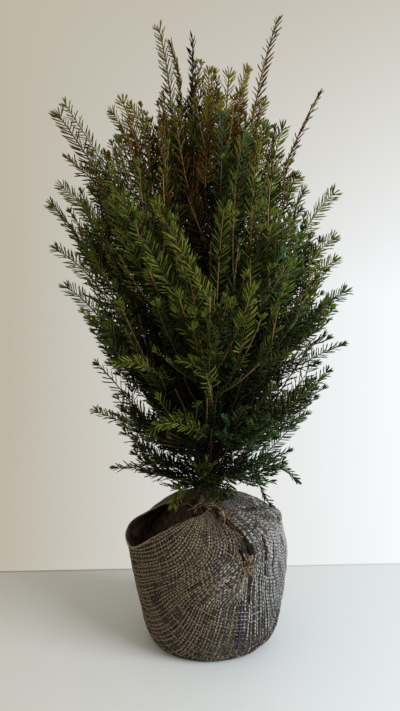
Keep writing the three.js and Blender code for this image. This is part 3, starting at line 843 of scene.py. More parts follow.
def dress_crown(boughs):
    """The twigs and needles of every shoot, as one piece of each for each part of the crown."""
    needle_finishes = [plain_material(n, c, 0.55, 0.06) for n, c in NEEDLE_TINTS]
    twig_finishes = [plain_material(n, c, 0.7, 0.3) for n, c in TWIG_TINTS]
    random = np.random.default_rng(CROWN_SEED)
    needles, twigs = {}, {}
    for shoot in grow_shoots(boughs):
        order, course, group = shoot["order"], shoot["course"], crown_part(shoot["own"])
        shoot["size"] = random.uniform(*SIZE_VARIES)
        shoot["inner"] = is_inner(course.points) and not shoot["long"]
        foot, tip = SHOOT_RADII[order]
        if shoot["long"]:
            is_low = course.points[-1][2] <= LONG_IS_LOW
            shoot["size"], foot = LOW_LONG_SIZES if is_low else HIGH_LONG_SIZES
        height = course.points[len(course.points) // 2][2]
        orange = LONG_ORANGE_SHARE if shoot["long"] else ORANGE_SHARE
        orange = orange * mix(ORANGE_BELOW, 1, smooth(*ORANGE_FADES, height))
        twig = tube(course, foot, tip, *SHOOT_GRIDS[order])
        twigs.setdefault(group, []).append((*twig, int(random.random() < orange)))
        *rows, share = needle_rows(shoot, random)
        tints, under = spray_tints(shoot, share, random)
        if shoot["inner"]:
            corners, shape, upper = lens_corners(*rows), LENS_FACES, LENS_UPPER
        else:
            corners, shape, upper = blade_corners(*rows), BLADE_FACES, BLADE_UPPER
        count, each = corners.shape[:2]
        faces = np.array(shape) + (np.arange(count) * each)[:, None, None]
        finish = np.full((count, len(shape)), under)
        finish[:, :upper] = tints[:, None]
        needles.setdefault(group, []).append((corners.reshape(-1, 3), faces.reshape(-1, 3), finish.ravel()))
    for group in needles:
        masses = [f"foliage_{bough['name']}" for bough in boughs if crown_part(bough) == group]
        put_on(mesh_piece(f"needles_{group}", needles[group], needle_finishes), "needles", *masses)
        put_on(mesh_piece(f"twigs_{group}", twigs[group], twig_finishes), "bark", *masses)


# Wood

# Roots of the collar: place round the stem and reach, and the heights of their start, elbow and end
# above the stem's foot
BARK_VOXEL = 0.0013
ROOTS = ((200, 52), (236, 46), (262, 58), (306, 44), (344, 50), (30, 48), (96, 46), (150, 50))
ROOT_HEIGHTS = (24, 8, -7)
ROOT_ELBOW = 4
ROOT_TWIST = 8
ROOT_RADIUS = 8
ROOT_TIP_RADIUS = 3.5
ROOT_STEPS = 8
STEM_RINGS = 40
BOUGH_RINGS = 12
BARK_RELIEF = (("VORONOI", 0.011, 0.0016), ("CLOUDS", 0.004, 0.0012))


def limb(points, radii):
    """A limb drawn as a curve with its own thickness at each point."""
    curve = bpy.data.curves.new("limb", "CURVE")
    curve.dimensions = "3D"
    curve.bevel_depth = MM
    curve.bevel_resolution = 4
    curve.use_fill_caps = True
    line = curve.splines.new("POLY")
    line.points.add(len(points) - 1)
    for corner, place, radius in zip(line.points, points, radii):
        corner.co = (*(place * MM), 1)
        corner.radius = radius
    return add_object("limb", curve)


def roughen(piece, kind, size, depth):
    """Pushes a piece's surface in and out by a texture whose grains have a size."""
    texture = bpy.data.textures.new("bark_relief", kind)
    texture.noise_scale = size
    push = piece.modifiers.new("relief", "DISPLACE")
    push.texture = texture
    push.texture_coords = "LOCAL"
    push.strength = depth
    push.mid_level = 0.5


def bark(boughs):
    """The stem with its root collar and the bare part of each bough, with flaky bark."""
    share = np.linspace(0, 1, STEM_RINGS)
    limbs = [limb(stem_course.at(share)[0], stem_radius(share))]
    start, elbow, end = (STEM_FOOT + height for height in ROOT_HEIGHTS)
    for turn, reach in ROOTS:
        line = [(0, 0, start), around(turn, STEM_RADIUS + ROOT_ELBOW, elbow),
                around(turn + ROOT_TWIST, reach, end)]
        radii = np.linspace(ROOT_RADIUS, ROOT_TIP_RADIUS, ROOT_STEPS + 1)
        limbs.append(limb(bezier(line, ROOT_STEPS), radii))
    wooden = [bough for bough in boughs if bough["wooden"]]
    for bough in wooden:
        line = bough["wooden"].at(np.linspace(0, 1, BOUGH_RINGS))[0]
        limbs.append(limb(line, np.linspace(BOUGH_RADIUS, BOUGH_TIP_RADIUS, BOUGH_RINGS)))
    choose(*limbs)
    bpy.ops.object.convert(target="MESH")
    bpy.ops.object.join()
    wood = bpy.context.view_layer.objects.active
    wood.name = wood.data.name = "bark_wood"
    merge = wood.modifiers.new("one_skin", "REMESH")
    merge.mode = "VOXEL"
    merge.voxel_size = BARK_VOXEL
    for kind, size, depth in BARK_RELIEF:
        roughen(wood, kind, size, depth)
    apply_modifiers(wood)
    smooth_faces(wood)
    wood.data.materials.clear()
    wood.data.materials.append(noisy_material(
        "flaky_bark", (0.022, 0.012, 0.008), (0.092, 0.049, 0.031), 130, 0.85, 0.8, 650))
    put_on(wood, "bark", "stem", *[f"bough_{bough['name']}" for bough in wooden])


# Wrap, as in the part's source: distance from the axis and height, from the middle of the underside
# to the cloth's edge
FOLDED_OVER = np.array([
    (0, 0), (103, 0), (117, 9), (131, 32), (140, 80), (145, 138),
    (142, 188), (130, 220), (100, 240), (66, 247), (40, 250),
])
STANDING_OPEN = np.array([
    (0, 0), (96, 0), (104, 9), (112, 36), (122, 78), (132, 122),
    (138, 152), (142, 172), (145, 185), (145.5, 193), (143, 200),
])

# The last station of that profile, the one below which the ball is slimmer on the left, how full it is
# there, and where the pocket stands open
STATIONS = 10
SLIM_BELOW = 7
LEFT_FULLNESS = 0.35
POCKET_AT = 186
POCKET_HALF_OPEN = 14
POCKET_HALF_SHUT = 64

# The knot at the foot of the fold: its place round the ball and its station
FOLD_KNOT_AT = 297
FOLD_KNOT_STATION = 5.8
CLOTH_THICKNESS = 2.6

# The wrap's own edge, as a station of that profile at each place round the ball. It dips where the
# pocket stands open and along the front, up to the fold.
EDGE_TURNS = (0, 150, 163, 175, 186, 195, 203, 212, 223, 235, 251, 264, 278, 288, 296, 360)
EDGE_STATIONS = (10, 10, 9.2, 8.6, 8.1, 7.6, 7.3, 7.4, 7.6, 7.5, 7.8, 8.3, 9.0, 9.6, 10, 10)

# The fold from the knot up to the stem: where its lip lies round the ball at each station, and how far
# the cloth stands open to the left of it
FOLD_STATIONS = (4.6, 5.3, 5.8, 6.1, 6.6, 7.2, 7.7, 8.3, 9.7)
FOLD_TURNS = (297, 298, 301, 303.5, 302, 297, 293, 288.5, 286)
FOLD_OPENINGS = (1, 2, 6, 12, 10, 4.5, 2, 1.5, 1.5)
FOLD_DRIFT_FADES = 40
LIP_RISE = 7.5
LIP_OVERHANG = 5
LIP_WIDTH = 7
LIP_FADES = 30
GROOVE_DEPTH = 15
GROOVE_WIDTH = 2.5
GROOVE_EDGE = 2.5
FOLD_APPEARS = (5.3, 6.1)
FOLD_ENDS = (9.2, 10)

# The grid of the cloth: columns as (start, end, step) in degrees from the knot, and rows a station. Its
# profile is made even many times, from a little way up.
COLUMN_RUNS = ((-111, -30, 1.5), (-30, -6, 1.0), (-6, 6, 0.5), (6, 36, 1.0), (36, 249, 1.5))
ROWS_A_STATION = (5, 4, 8, 14, 17, 15, 12, 12, 11, 9)
EDGE_MOVES_ABOVE = 5
EVEN_ROUNDS = 16
EVEN_ABOVE = 1.3

# How the flat square of cloth lies round the ball: the angle round its middle at each place. One of its
# sides is under the pocket, the next one under the knot, and some of it is drawn in to the fold.
LEFT_RANGE = 111
RIGHT_RANGE = 249
CLOTH_TURNS = (
    186, 192, 200, 216, 232, 248, 264, 272, 280, 288, 297, 310, 323, 331, 341, 353, 367, 400, 455, 546,
)
CLOTH_ANGLES = (
    8, 14, 20, 28, 38, 49, 63, 71, 78, 84, 90, 99, 110, 117, 125, 134, 146, 190, 272, 368,
)
TUCKED_IN = 18
KNOT_PULLS = 80
KNOT_REACH = 3
PULL_REACH = 12

# Creases: where each starts and ends as (place round the ball, station), its depth and its half-width.
# Those with a depth below nought stand out.
CREASES = [
    ((322, 8.5), (358, 7.9), 9, 8),
    ((334, 7.7), (366, 6.9), -6, 14),
    ((313, 6.7), (313.5, 5.2), 8, 3.2),
    ((309, 6.2), (309.5, 5.6), 3, 2.5),
    ((299.5, 5.5), (300, 4.5), 8, 3.2),
    ((322, 6.2), (321, 5.0), 2.5, 5),
    ((278, 8.4), (279, 7.2), 5, 9),
    ((286, 5.5), (276, 4.4), 2.5, 6),
    ((340, 6.9), (334, 5.6), 2, 6),
]

# The creases that are deep and narrow enough to shade their yarns, and how far to their sides
SHADED_DEPTH = 4
SHADED_WIDTH = 9
SHADED_SHARE = 0.9
SHADED_PAST = 1.5

# Ripples that fan out upwards from the knot: height, how far they last, and where they start
PULL_HEIGHT = 2.2
PULL_LASTS = 85
PULL_STARTS = (8, 28)
PULLS_BELOW = (-80, 10)
PULL_RAYS = 15
PULL_SWAY = 1.8

# The cloth's lumps and wrinkles: heights, and the stations between which they start
LUMP_HEIGHTS = (1.5, 1.1)
WRINKLE_HEIGHT = 0.7
RELIEF_STARTS = (1.05, 2.2)

# Yarns: half their width, and their height. Each floats over the others for a few steps at a time.
WEFT_SEED = 31
WARP_SEED = 32
YARNS_A_SIDE = 80
STEPS_A_SIDE = 240
YARN_PITCH = 6.6
YARN_STEP = 2.2
FLOAT_STEPS = 3
WEFT_SIZE = (1.5, 1.1)
WARP_SIZE = (0.85, 0.8)
WARP_BRIGHT = 0.5
YARN_WAVE = 0.55
LEVEL_STRAY = 0.8
SWAY = 1.1
SWAY_LENGTH = 37
THICK_VARIES = (0.75, 1.15)
YARN_CLEARANCE = 0.05
OVER_OTHERS = -0.5
HIDDEN_FROM_KNOT = 4
FLOATS_ALIKE = 5
UNDERSIDE_ENDS = 106
LONGEST_STEP = 9
SHORTEST_STRETCH = 4

# The bound edge: half its width on the right and on the left, and how far it sinks into the cloth
EDGE_SIZES = (1.5, 2.6)
EDGE_FADES = (-50, -95)
EDGE_SINKS = 0.45
EDGE_OPEN_AT_FOLD = 3


def turn_between(start, end):
    """Degrees from one place round the axis to another, from -180 to 180."""
    return (end - start + 180) % 360 - 180


def wrap_shape(turn, station):
    """Distance from the axis and height of the wrap's outer face before its folds."""
    standing_open = 1 - smooth(POCKET_HALF_OPEN, POCKET_HALF_SHUT, np.abs(turn_between(POCKET_AT, turn)))
    full = np.maximum((1 + np.cos(np.radians(turn))) / 2, LEFT_FULLNESS)
    first = np.minimum(station.astype(int), STATIONS - 1)
    ends = []
    for i in (first, first + 1):
        folded, standing = FOLDED_OVER[i], STANDING_OPEN[i]
        slim = np.where(i < SLIM_BELOW, mix(standing[..., 0], folded[..., 0], full), folded[..., 0])
        ends.append((mix(slim, standing[..., 0], standing_open),
                     mix(folded[..., 1], standing[..., 1], standing_open)))
    part = station - first
    return mix(ends[0][0], ends[1][0], part), mix(ends[0][1], ends[1][1], part)


def on_wrap(turn, station):
    radius, height = wrap_shape(np.asarray(turn, float), np.asarray(station, float))
    return around(turn, radius, height)


def fold_drift(station):
    """How far round from the knot the fold lies at a station."""
    return np.interp(station, FOLD_STATIONS, FOLD_TURNS) - FOLD_KNOT_AT


def cloth_angle(off, along, knot_along):
    """The angle round the flat cloth's middle of a place on the ball."""
    below = knot_along - along
    tuck = TUCKED_IN * (1 - smooth(0, KNOT_PULLS, below))
    reach = mix(KNOT_REACH, PULL_REACH, smooth(0, KNOT_PULLS, below))
    hidden = np.where(below > 0, smooth(0, 1, -off / reach), 1)
    drawn = np.where(off < 0, tuck * (1 + off / LEFT_RANGE) * hidden, 0)
    return np.interp(off + FOLD_KNOT_AT, CLOTH_TURNS, CLOTH_ANGLES) - drawn


def distance_to_line(points, start, end):
    run = end - start
    share = np.clip(((points - start) @ run) / (run @ run), 0, 1)
    return np.linalg.norm(points - start - share[..., None] * run, axis=-1)


def distance_to_crease(points, start, end):
    """The distance of points from a crease that follows the ball between two places on it."""
    turns, stations = np.linspace(start, end, 8).T
    corners = on_wrap(turns, stations)
    return np.minimum.reduce([distance_to_line(points, a, b) for a, b in zip(corners, corners[1:])])


def in_crease(points):
    """True for the points of the yarns that lie in a deep narrow crease."""
    inside = np.zeros(len(points), bool)
    for start, end, depth, width in CREASES:
        if depth > SHADED_DEPTH and width < SHADED_WIDTH:
            inside |= distance_to_crease(points, start, end) < width * SHADED_SHARE + SHADED_PAST
    return inside


def grid_normals(grid):
    """The way out at each corner of a grid round the ball, whose first row is the underside's middle."""
    ahead = np.roll(grid, -1, axis=0) - np.roll(grid, 1, axis=0)
    normals = np.cross(ahead, np.gradient(grid, axis=1))
    normals[:, 0] = (0, 0, -1)
    return unit(normals)


def row_stations():
    steps = [np.arange(n) / n + i for i, n in enumerate(ROWS_A_STATION)]
    return np.concatenate([*steps, [STATIONS]])


class Cloth:
    """The wrap's outer face as a grid of columns round the ball and rows up it."""

    def __init__(self):
        self.offs = np.concatenate([np.arange(*run) for run in COLUMN_RUNS])
        rows = row_stations()
        off = self.offs[:, None]
        turn = FOLD_KNOT_AT + off
        edge = np.interp(turn % 360, EDGE_TURNS, EDGE_STATIONS)
        still = EDGE_MOVES_ABOVE
        moved = still + (rows - still) * (edge - still) / (STATIONS - still)
        station = np.where(rows <= still, rows, moved)
        turn = turn + fold_drift(station) * np.exp(-((off / FOLD_DRIFT_FADES) ** 2))
        radius, height = wrap_shape(turn, station)
        for _ in range(EVEN_ROUNDS):
            for line in (radius, height):
                soft = (line[:, :-2] + 2 * line[:, 1:-1] + line[:, 2:]) / 4
                line[:, 1:-1] = np.where(rows[1:-1] > EVEN_ABOVE, soft, line[:, 1:-1])
        base = around(turn, radius, height)
        steps = np.linalg.norm(np.diff(base, axis=1), axis=-1)
        self.along = np.concatenate([np.zeros((len(self.offs), 1)), np.cumsum(steps, axis=1)], axis=1)
        knot_column = np.argmin(np.abs(self.offs))
        self.knot_along = np.interp(FOLD_KNOT_STATION, station[knot_column], self.along[knot_column])
        self.knot = on_wrap(FOLD_KNOT_AT, FOLD_KNOT_STATION)
        relief = self.relief(off, station, base)
        lip = np.where(off >= 0, np.exp(-((off / LIP_WIDTH) ** 2)), 0) * self.fold_present(station)
        angle = np.radians(turn)
        sideways = np.stack([-np.sin(angle), np.cos(angle), np.zeros_like(turn)], axis=-1)
        points = base + grid_normals(base) * relief[..., None] - sideways * (lip * LIP_OVERHANG)[..., None]
        points[..., 2] = np.maximum(points[..., 2], 0)
        self.points = points
        self.normals = grid_normals(points)

    @staticmethod
    def fold_present(station):
        return smooth(*FOLD_APPEARS, station) * (1 - smooth(*FOLD_ENDS, station))

    def relief(self, off, station, base):
        """How far folds, creases and lumps push the cloth out."""
        lip = LIP_RISE * (1 - smooth(0, LIP_FADES, off))
        past = off + np.interp(station, FOLD_STATIONS, FOLD_OPENINGS)
        edge = GROOVE_EDGE * np.exp(-((past / LIP_WIDTH) ** 2))
        groove = -GROOVE_DEPTH * smooth(0, GROOVE_WIDTH, past) - edge
        relief = np.where(off >= 0, lip, groove) * self.fold_present(station)
        away = base - self.knot
        far = np.linalg.norm(away, axis=-1)
        east = np.array((-math.sin(math.radians(FOLD_KNOT_AT)), math.cos(math.radians(FOLD_KNOT_AT)), 0))
        way = np.arctan2(away @ east, -away[..., 2])
        pulls = PULL_HEIGHT * np.exp(-far / PULL_LASTS) * smooth(*PULL_STARTS, far)
        rays = np.sin(PULL_RAYS * way + PULL_SWAY * np.sin(3 * way))
        relief += pulls * rays * smooth(*PULLS_BELOW, -away[..., 2])
        for start, end, depth, width in CREASES:
            far = distance_to_crease(base, start, end)
            relief -= depth * np.exp(-((far / width) ** 2))
        x, y, z = base[..., 0], base[..., 1], base[..., 2]
        lumps = LUMP_HEIGHTS[0] * np.sin(x / 31 + 1.1) * np.sin(z / 37 + y / 44)
        lumps = lumps + LUMP_HEIGHTS[1] * np.sin(y / 19 - 0.7) * np.sin(z / 23 + x / 29)
        wrinkles = WRINKLE_HEIGHT * np.sin((x + z) / 7.5 + 2 * np.sin(z / 26))
        wrinkles = wrinkles * np.sin((z - y) / 13 + x / 17)
        return (relief + lumps + wrinkles) * smooth(*RELIEF_STARTS, station)

    def flat_places(self):
        """Where each corner of the grid is on the flat square of cloth."""
        angle = np.radians(cloth_angle(self.offs[:, None], self.along, self.knot_along))
        return np.stack([self.along * np.cos(angle), self.along * np.sin(angle)], axis=-1)

    def find(self, across, up):
        """Where points of the flat cloth lie on the ball: degrees off the fold, and the way along the
        cloth from the middle of the underside."""
        along = np.hypot(across, up)
        angle = (np.degrees(np.arctan2(up, across)) - CLOTH_ANGLES[0]) % 360 + CLOTH_ANGLES[0]
        low = np.full(along.shape, -float(LEFT_RANGE))
        high = np.full(along.shape, float(RIGHT_RANGE))
        for _ in range(22):
            middle = (low + high) / 2
            short = cloth_angle(middle, along, self.knot_along) < angle
            low, high = np.where(short, middle, low), np.where(short, high, middle)
        return low, along

    def place(self, off, along):
        """Points and normals of the outer face, and whether each is below the cloth's edge."""
        columns = np.append(self.offs, RIGHT_RANGE)
        first = np.clip(np.searchsorted(columns, off, side="right") - 1, 0, len(self.offs) - 1)
        second = (first + 1) % len(self.offs)
        part = ((off - columns[first]) / (columns[first + 1] - columns[first]))[:, None]
        rows = mix(self.along[first], self.along[second], part)
        row = np.clip((rows < along[:, None]).sum(axis=1) - 1, 0, rows.shape[1] - 2)
        here = np.arange(len(off))
        rise = ((along - rows[here, row]) / (rows[here, row + 1] - rows[here, row]))[:, None]
        found = []
        for grid in (self.points, self.normals):
            lower = mix(grid[first, row], grid[second, row], part)
            upper = mix(grid[first, row + 1], grid[second, row + 1], part)
            found.append(mix(lower, upper, rise))
        return found[0], unit(found[1]), along < rows[:, -1]


def cloth_mesh(cloth):
    """The wrap as one sheet, with the flat cloth's own measure as its UV map, in metres."""
    columns, rows = cloth.along.shape
    number = np.arange(columns * (rows - 1)).reshape(columns, rows - 1) + 1
    corners = np.vstack([[(0, 0, 0)], cloth.points[:, 1:].reshape(-1, 3)])
    places = np.vstack([[(0, 0)], cloth.flat_places()[:, 1:].reshape(-1, 2)])
    after = np.roll(number, -1, axis=0)
    quads = np.stack([number[:, :-1], after[:, :-1], after[:, 1:], number[:, 1:]], axis=-1).reshape(-1, 4)
    fan = np.stack([np.zeros(columns, int), after[:, 0], number[:, 0]], axis=-1)
    mesh = bpy.data.meshes.new("sacking_wrap_cloth")
    mesh.from_pydata((corners * MM).tolist(), [], quads.tolist() + fan.tolist())
    layer = mesh.uv_layers.new(name="cloth")
    loops = np.concatenate([quads.ravel(), fan.ravel()])
    layer.data.foreach_set("uv", (places[loops] * MM).astype(np.float32).ravel())
    return add_object(mesh.name, mesh)


def thread_tube(points, normals, size):
    """Corners and faces of a three-sided yarn that lies on a face, from half its width and its height."""
    ahead = np.vstack([points[1:], points[-1:]]) - np.vstack([points[:1], points[:-1]])
    side = unit(np.cross(unit(ahead), normals))
    wide, high = size
    ring = np.stack([points - side * wide, points + normals * high, points + side * wide], axis=1)
    count = len(points)
    corners = ring.reshape(-1, 3)
    i = np.arange(count - 1)[:, None] * 3
    k = np.arange(3)[None]
    k2 = (k + 1) % 3
    a, b, c, d = i + k, i + k2, i + 3 + k, i + 3 + k2
    faces = np.concatenate([
        np.stack([a, b, c], axis=-1).reshape(-1, 3), np.stack([b, d, c], axis=-1).reshape(-1, 3),
        [(0, 2, 1)], [(3 * count - 3, 3 * count - 2, 3 * count - 1)],
    ])
    return corners, faces


YARN_TINTS = [
    ("yarn_white", (0.470, 0.474, 0.480)),
    ("yarn_grey", (0.215, 0.208, 0.196)),
    ("yarn_tan", (0.305, 0.240, 0.150)),
    ("yarn_brown", (0.072, 0.055, 0.040)),
    ("yarn_violet", (0.062, 0.048, 0.140)),
]
WHITE, GREY, TAN, BROWN, VIOLET = range(5)
YARN_DARK = 0.55
YARN_GRAIN = 190
# Yarns are whiter to the right and browner to the left: partly their own colour, partly painted light from
# the right
LEFT_OF_FOLD = 0.6
RIGHT_FADES = (-40, 70)
LOW_FADES = (25, 125)
UPPER_FADES = (200, 232)
WHITE_SHARE = 0.84
WHITE_LOW = 0.3
WHITE_UPPER = 0.3
GREY_LEFT = 0.04
GREY_RIGHT = 0.36
GREY_UPPER = 0.8
TAN_SHARE = 0.86
CROSSED_GREY = 0.5
PAST_FOLD = (-3, 3)
HIDDEN_IN_FOLD = (-1.2 * KNOT_REACH, 0.2)
THINNED_PAST = 4
WIDTHS = (0.82, 1.08)
WIDTH_FADES = (-30, 60)
VIOLET_YARN = 1
VIOLET_ALONG = (136, 226)
VIOLET_LIFT = 0.5
VIOLET_DRIFT = 3.5


def yarn_tints(points, over, bright, random):
    """A tint for each step of a yarn: pale where it lies over the others and darker where it dips under
    them, as painted shade; whiter to the right and browner to the left, partly its own colour, partly
    painted light.
    """
    float_number = np.cumsum(np.concatenate([[0], np.diff(over.astype(int)) != 0])) // FLOATS_ALIKE
    draw = random.random(float_number[-1] + 1)[float_number]
    past_fold = smooth(*PAST_FOLD, turn_between(FOLD_KNOT_AT, turn_of(points)))
    # Whiter to the right, partly painted light from the right
    right = smooth(*RIGHT_FADES, points[:, 0]) * mix(LEFT_OF_FOLD, 1, past_fold)
    clear, upper = smooth(*LOW_FADES, points[:, 2]), smooth(*UPPER_FADES, points[:, 2])
    white = WHITE_SHARE * right * right * bright * mix(WHITE_LOW, 1, clear) * mix(1, WHITE_UPPER, upper)
    grey = white + (GREY_LEFT + GREY_RIGHT * right) * bright * mix(1, GREY_UPPER, upper)
    tan = grey + TAN_SHARE * (1 - right)
    shown = np.where(draw < white, WHITE, np.where(draw < grey, GREY, np.where(draw < tan, TAN, BROWN)))
    # Where a yarn dips under the others it is painted darker, grey or brown, as shade in the weave
    crossed = np.where(draw > 1 - CROSSED_GREY * right, GREY, BROWN)
    return np.where(over, shown, crossed)


def shown_stretches(shown, points):
    """Where each stretch of a yarn starts and ends that shows and has no jump in it."""
    steps = np.linalg.norm(np.diff(points, axis=0), axis=1)
    jump = np.concatenate([[False], steps > LONGEST_STEP])
    stretches, start = [], None
    for i, good in enumerate(shown):
        if start is not None and (not good or jump[i]):
            stretches.append((start, i))
            start = None
        if good and start is None:
            start = i
    if start is not None:
        stretches.append((start, len(shown)))
    return [(a, b) for a, b in stretches if b - a > SHORTEST_STRETCH]


def lay_yarns(cloth, is_weft):
    """The yarns of one direction of the weave, where they show on the ball."""
    random = np.random.default_rng(WEFT_SEED if is_weft else WARP_SEED)
    size, bright = (WEFT_SIZE, 1) if is_weft else (WARP_SIZE, WARP_BRIGHT)
    steps = np.arange(2 * STEPS_A_SIDE + 1)
    run = (steps - STEPS_A_SIDE) * YARN_STEP
    parts = []
    for k in range(-YARNS_A_SIDE, YARNS_A_SIDE + 1):
        level = k * YARN_PITCH + random.uniform(-LEVEL_STRAY, LEVEL_STRAY)
        level = level + SWAY * np.sin(run / SWAY_LENGTH + random.random() * 6)
        is_violet = is_weft and k == VIOLET_YARN
        if is_violet:
            level = level - VIOLET_DRIFT * (1 - smooth(*VIOLET_ALONG, run))
        across, up = (level, run) if is_weft else (run, level)
        off, along = cloth.find(across, up)
        points, normals, below_edge = cloth.place(off, along)
        above_knot = along > cloth.knot_along - HIDDEN_FROM_KNOT
        in_fold = above_knot & (off < HIDDEN_IN_FOLD[1]) & (off > HIDDEN_IN_FOLD[0])
        thinned = (off > THINNED_PAST) & (k % 2 == 1) & (not is_weft)
        shown = below_edge & (along > UNDERSIDE_ENDS) & ~in_fold & ~thinned
        wave = np.cos(2 * np.pi * ((steps + k % 2) / FLOAT_STEPS + 1 / 6))
        lift = YARN_WAVE * wave + (VIOLET_LIFT if is_violet else 0)
        points = points + normals * lift[:, None]
        thick = random.uniform(*THICK_VARIES)
        for start, end in shown_stretches(shown, points):
            line = points[start:end]
            wide = size[0] * thick * mix(*WIDTHS, smooth(*WIDTH_FADES, line[:, :1]))
            corners, faces = thread_tube(line, normals[start:end], (wide, size[1] * thick))
            corners[:, 2] = np.maximum(corners[:, 2], YARN_CLEARANCE)
            tint = yarn_tints(line, wave[start:end] > OVER_OTHERS, bright, random)
            # Yarns in deep narrow creases are painted brown, as shade
            tint = np.where(in_crease(line), BROWN, tint)
            if is_violet:
                seen = (along[start:end] > VIOLET_ALONG[0]) & (along[start:end] < VIOLET_ALONG[1])
                tint = np.where(seen & (up[start:end] > 0), VIOLET, tint)
            finish = np.concatenate([np.repeat(tint[:-1], 3), np.repeat(tint[:-1], 3), tint[:1], tint[-1:]])
            parts.append((corners, faces, finish))
    return parts


def add_node(tree, kind, inputs, **settings):
    """A new node with settings. Each input, by its name or number, gets a value or another's output."""
    node = tree.nodes.new("ShaderNode" + kind)
    for name, value in settings.items():
        setattr(node, name, value)
    for key, value in inputs.items():
        if isinstance(value, bpy.types.NodeSocket):
            tree.links.new(value, node.inputs[key])
        else:
            node.inputs[key].default_value = value
    return node


def math_node(tree, operation, first, second):
    return add_node(tree, "Math", {0: first, 1: second}, operation=operation).outputs["Value"]


def vector_node(tree, operation, inputs, output="Vector"):
    return add_node(tree, "VectorMath", inputs, operation=operation).outputs[output]


def span_node(tree, value, low, high, start=0.0, end=1.0):
    return add_node(tree, "MapRange", {
        "Value": value, "From Min": low, "From Max": high, "To Min": start, "To Max": end,
    }).outputs["Result"]


def tone_node(tree, share, first, second):
    tones = [(*tone, 1) if isinstance(tone, tuple) else tone for tone in (first, second)]
    mixed = add_node(tree, "Mix", {"Factor": share, "A": tones[0], "B": tones[1]}, data_type="RGBA")
    return mixed.outputs["Result"]


def noise_node(tree, place, scale, detail=2):
    return add_node(tree, "TexNoise", {"Vector": place, "Scale": scale, "Detail": detail}).outputs["Fac"]


def ramp_node(tree, share, low, dark, high, light):
    """A colour that goes from a dark tint to a light one as a share goes from low to high."""
    node = add_node(tree, "ValToRGB", {"Fac": share})
    for stop, place, tint in zip(node.color_ramp.elements, (low, high), (dark, light)):
        stop.position = place
        stop.color = (*tint, 1)
    return node.outputs["Color"]


def shade_surface(tree, colour, height=None, strength=0.0):
    """Gives the main shader a colour and, with a height, a bump of its own."""
    shader = tree.nodes["Principled BSDF"]
    tree.links.new(colour, shader.inputs["Base Color"])
    if height is not None:
        bump = add_node(tree, "Bump", {"Strength": strength, "Distance": MM, "Height": height})
        tree.links.new(bump.outputs["Normal"], shader.inputs["Normal"])


def noisy_material(name, dark, light, scale, roughness, bump=0.0, bump_scale=900.0):
    """A finish whose colour drifts between two tints, with a fine bump."""
    material = plain_material(name, light, roughness, 0.2)
    tree = material.node_tree
    place = add_node(tree, "TexCoord", {}).outputs["Object"]
    colour = ramp_node(tree, noise_node(tree, place, scale, 4), 0.36, dark, 0.66, light)
    shade_surface(tree, colour, noise_node(tree, place, bump_scale) if bump else None, bump)
    return material


def tinted_finishes(tints, darker, grain):
    """A finish for each tint, that drifts from a darker one."""
    finishes = []
    for name, tint in tints:
        finishes.append(noisy_material(name, tuple(darker * part for part in tint), tint, grain, 0.9))
    return finishes


def sacking_material():
    """Coarse open weave, browner on the left and lighter and greyer on the right: partly the cloth's own
    colour, partly painted light from the right.
    """
    material = plain_material("sacking_weave", (0.08, 0.06, 0.045), 0.95, 0.15)
    tree = material.node_tree
    flat_place = add_node(tree, "UVMap", {}, uv_map="cloth").outputs["UV"]
    scale = math.pi / 10 / (YARN_PITCH / 2 * MM)
    waves = [add_node(tree, "TexWave", {
        "Vector": flat_place, "Scale": scale, "Distortion": 1.2, "Detail": 2, "Detail Scale": 2,
    }, bands_direction=way).outputs["Fac"] for way in ("X", "Y")]
    weave = math_node(tree, "MAXIMUM", *waves)
    streak_place = vector_node(tree, "MULTIPLY", {0: flat_place, 1: (1.0, 0.16, 1.0)})
    fibre = span_node(tree, noise_node(tree, streak_place, 330), 0.35, 0.65, 0.4, 1.6)
    tone = math_node(tree, "MULTIPLY", span_node(tree, weave, 0.0, 1.0, 0.45, 1.2), fibre)
    place = add_node(tree, "TexCoord", {}).outputs["Object"]
    stains = noise_node(tree, place, 22, 6)
    browner_left = ramp_node(tree, stains, 0.35, (0.018, 0.012, 0.008), 0.7, (0.062, 0.043, 0.028))
    greyer_lit_right = ramp_node(tree, stains, 0.35, (0.018, 0.015, 0.013), 0.7, (0.070, 0.061, 0.054))
    sides = add_node(tree, "SeparateXYZ", {"Vector": place}).outputs
    # Lighter and greyer to the right: partly the cloth's colour, partly painted light from the right
    ground = tone_node(tree, span_node(tree, sides["X"], -0.10, 0.09), browner_left, greyer_lit_right)
    shade_surface(tree, vector_node(tree, "SCALE", {0: ground, "Scale": tone}), weave, 0.8)
    return material


def apply_modifiers(piece):
    choose(piece)
    for modifier in list(piece.modifiers):
        bpy.ops.object.modifier_apply(modifier=modifier.name)


def smooth_faces(piece):
    piece.data.polygons.foreach_set("use_smooth", np.ones(len(piece.data.polygons), bool))


def put_on(piece, slot, *nodes):
    """Has a finished piece ride on the plant and stand for solids."""
    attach(piece, "root")
    if nodes:
        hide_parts(*nodes)


def edge_binding(cloth):
    """The cloth's own edge, turned over once, as a thick yarn all round the opening."""
    order = np.append(np.arange(len(cloth.offs)), 0)
    at_fold = np.abs(cloth.offs[order]) < EDGE_OPEN_AT_FOLD
    normals = cloth.normals[order, -1]
    points = cloth.points[order, -1] - normals * (CLOTH_THICKNESS * EDGE_SINKS)
    parts = []
    for start, end in shown_stretches(~at_fold, points):
        wide = mix(*EDGE_SIZES, smooth(*EDGE_FADES, points[start:end, :1]))
        corners, faces = thread_tube(points[start:end], normals[start:end], (wide, wide))
        parts.append((corners, faces, TAN))
    return parts


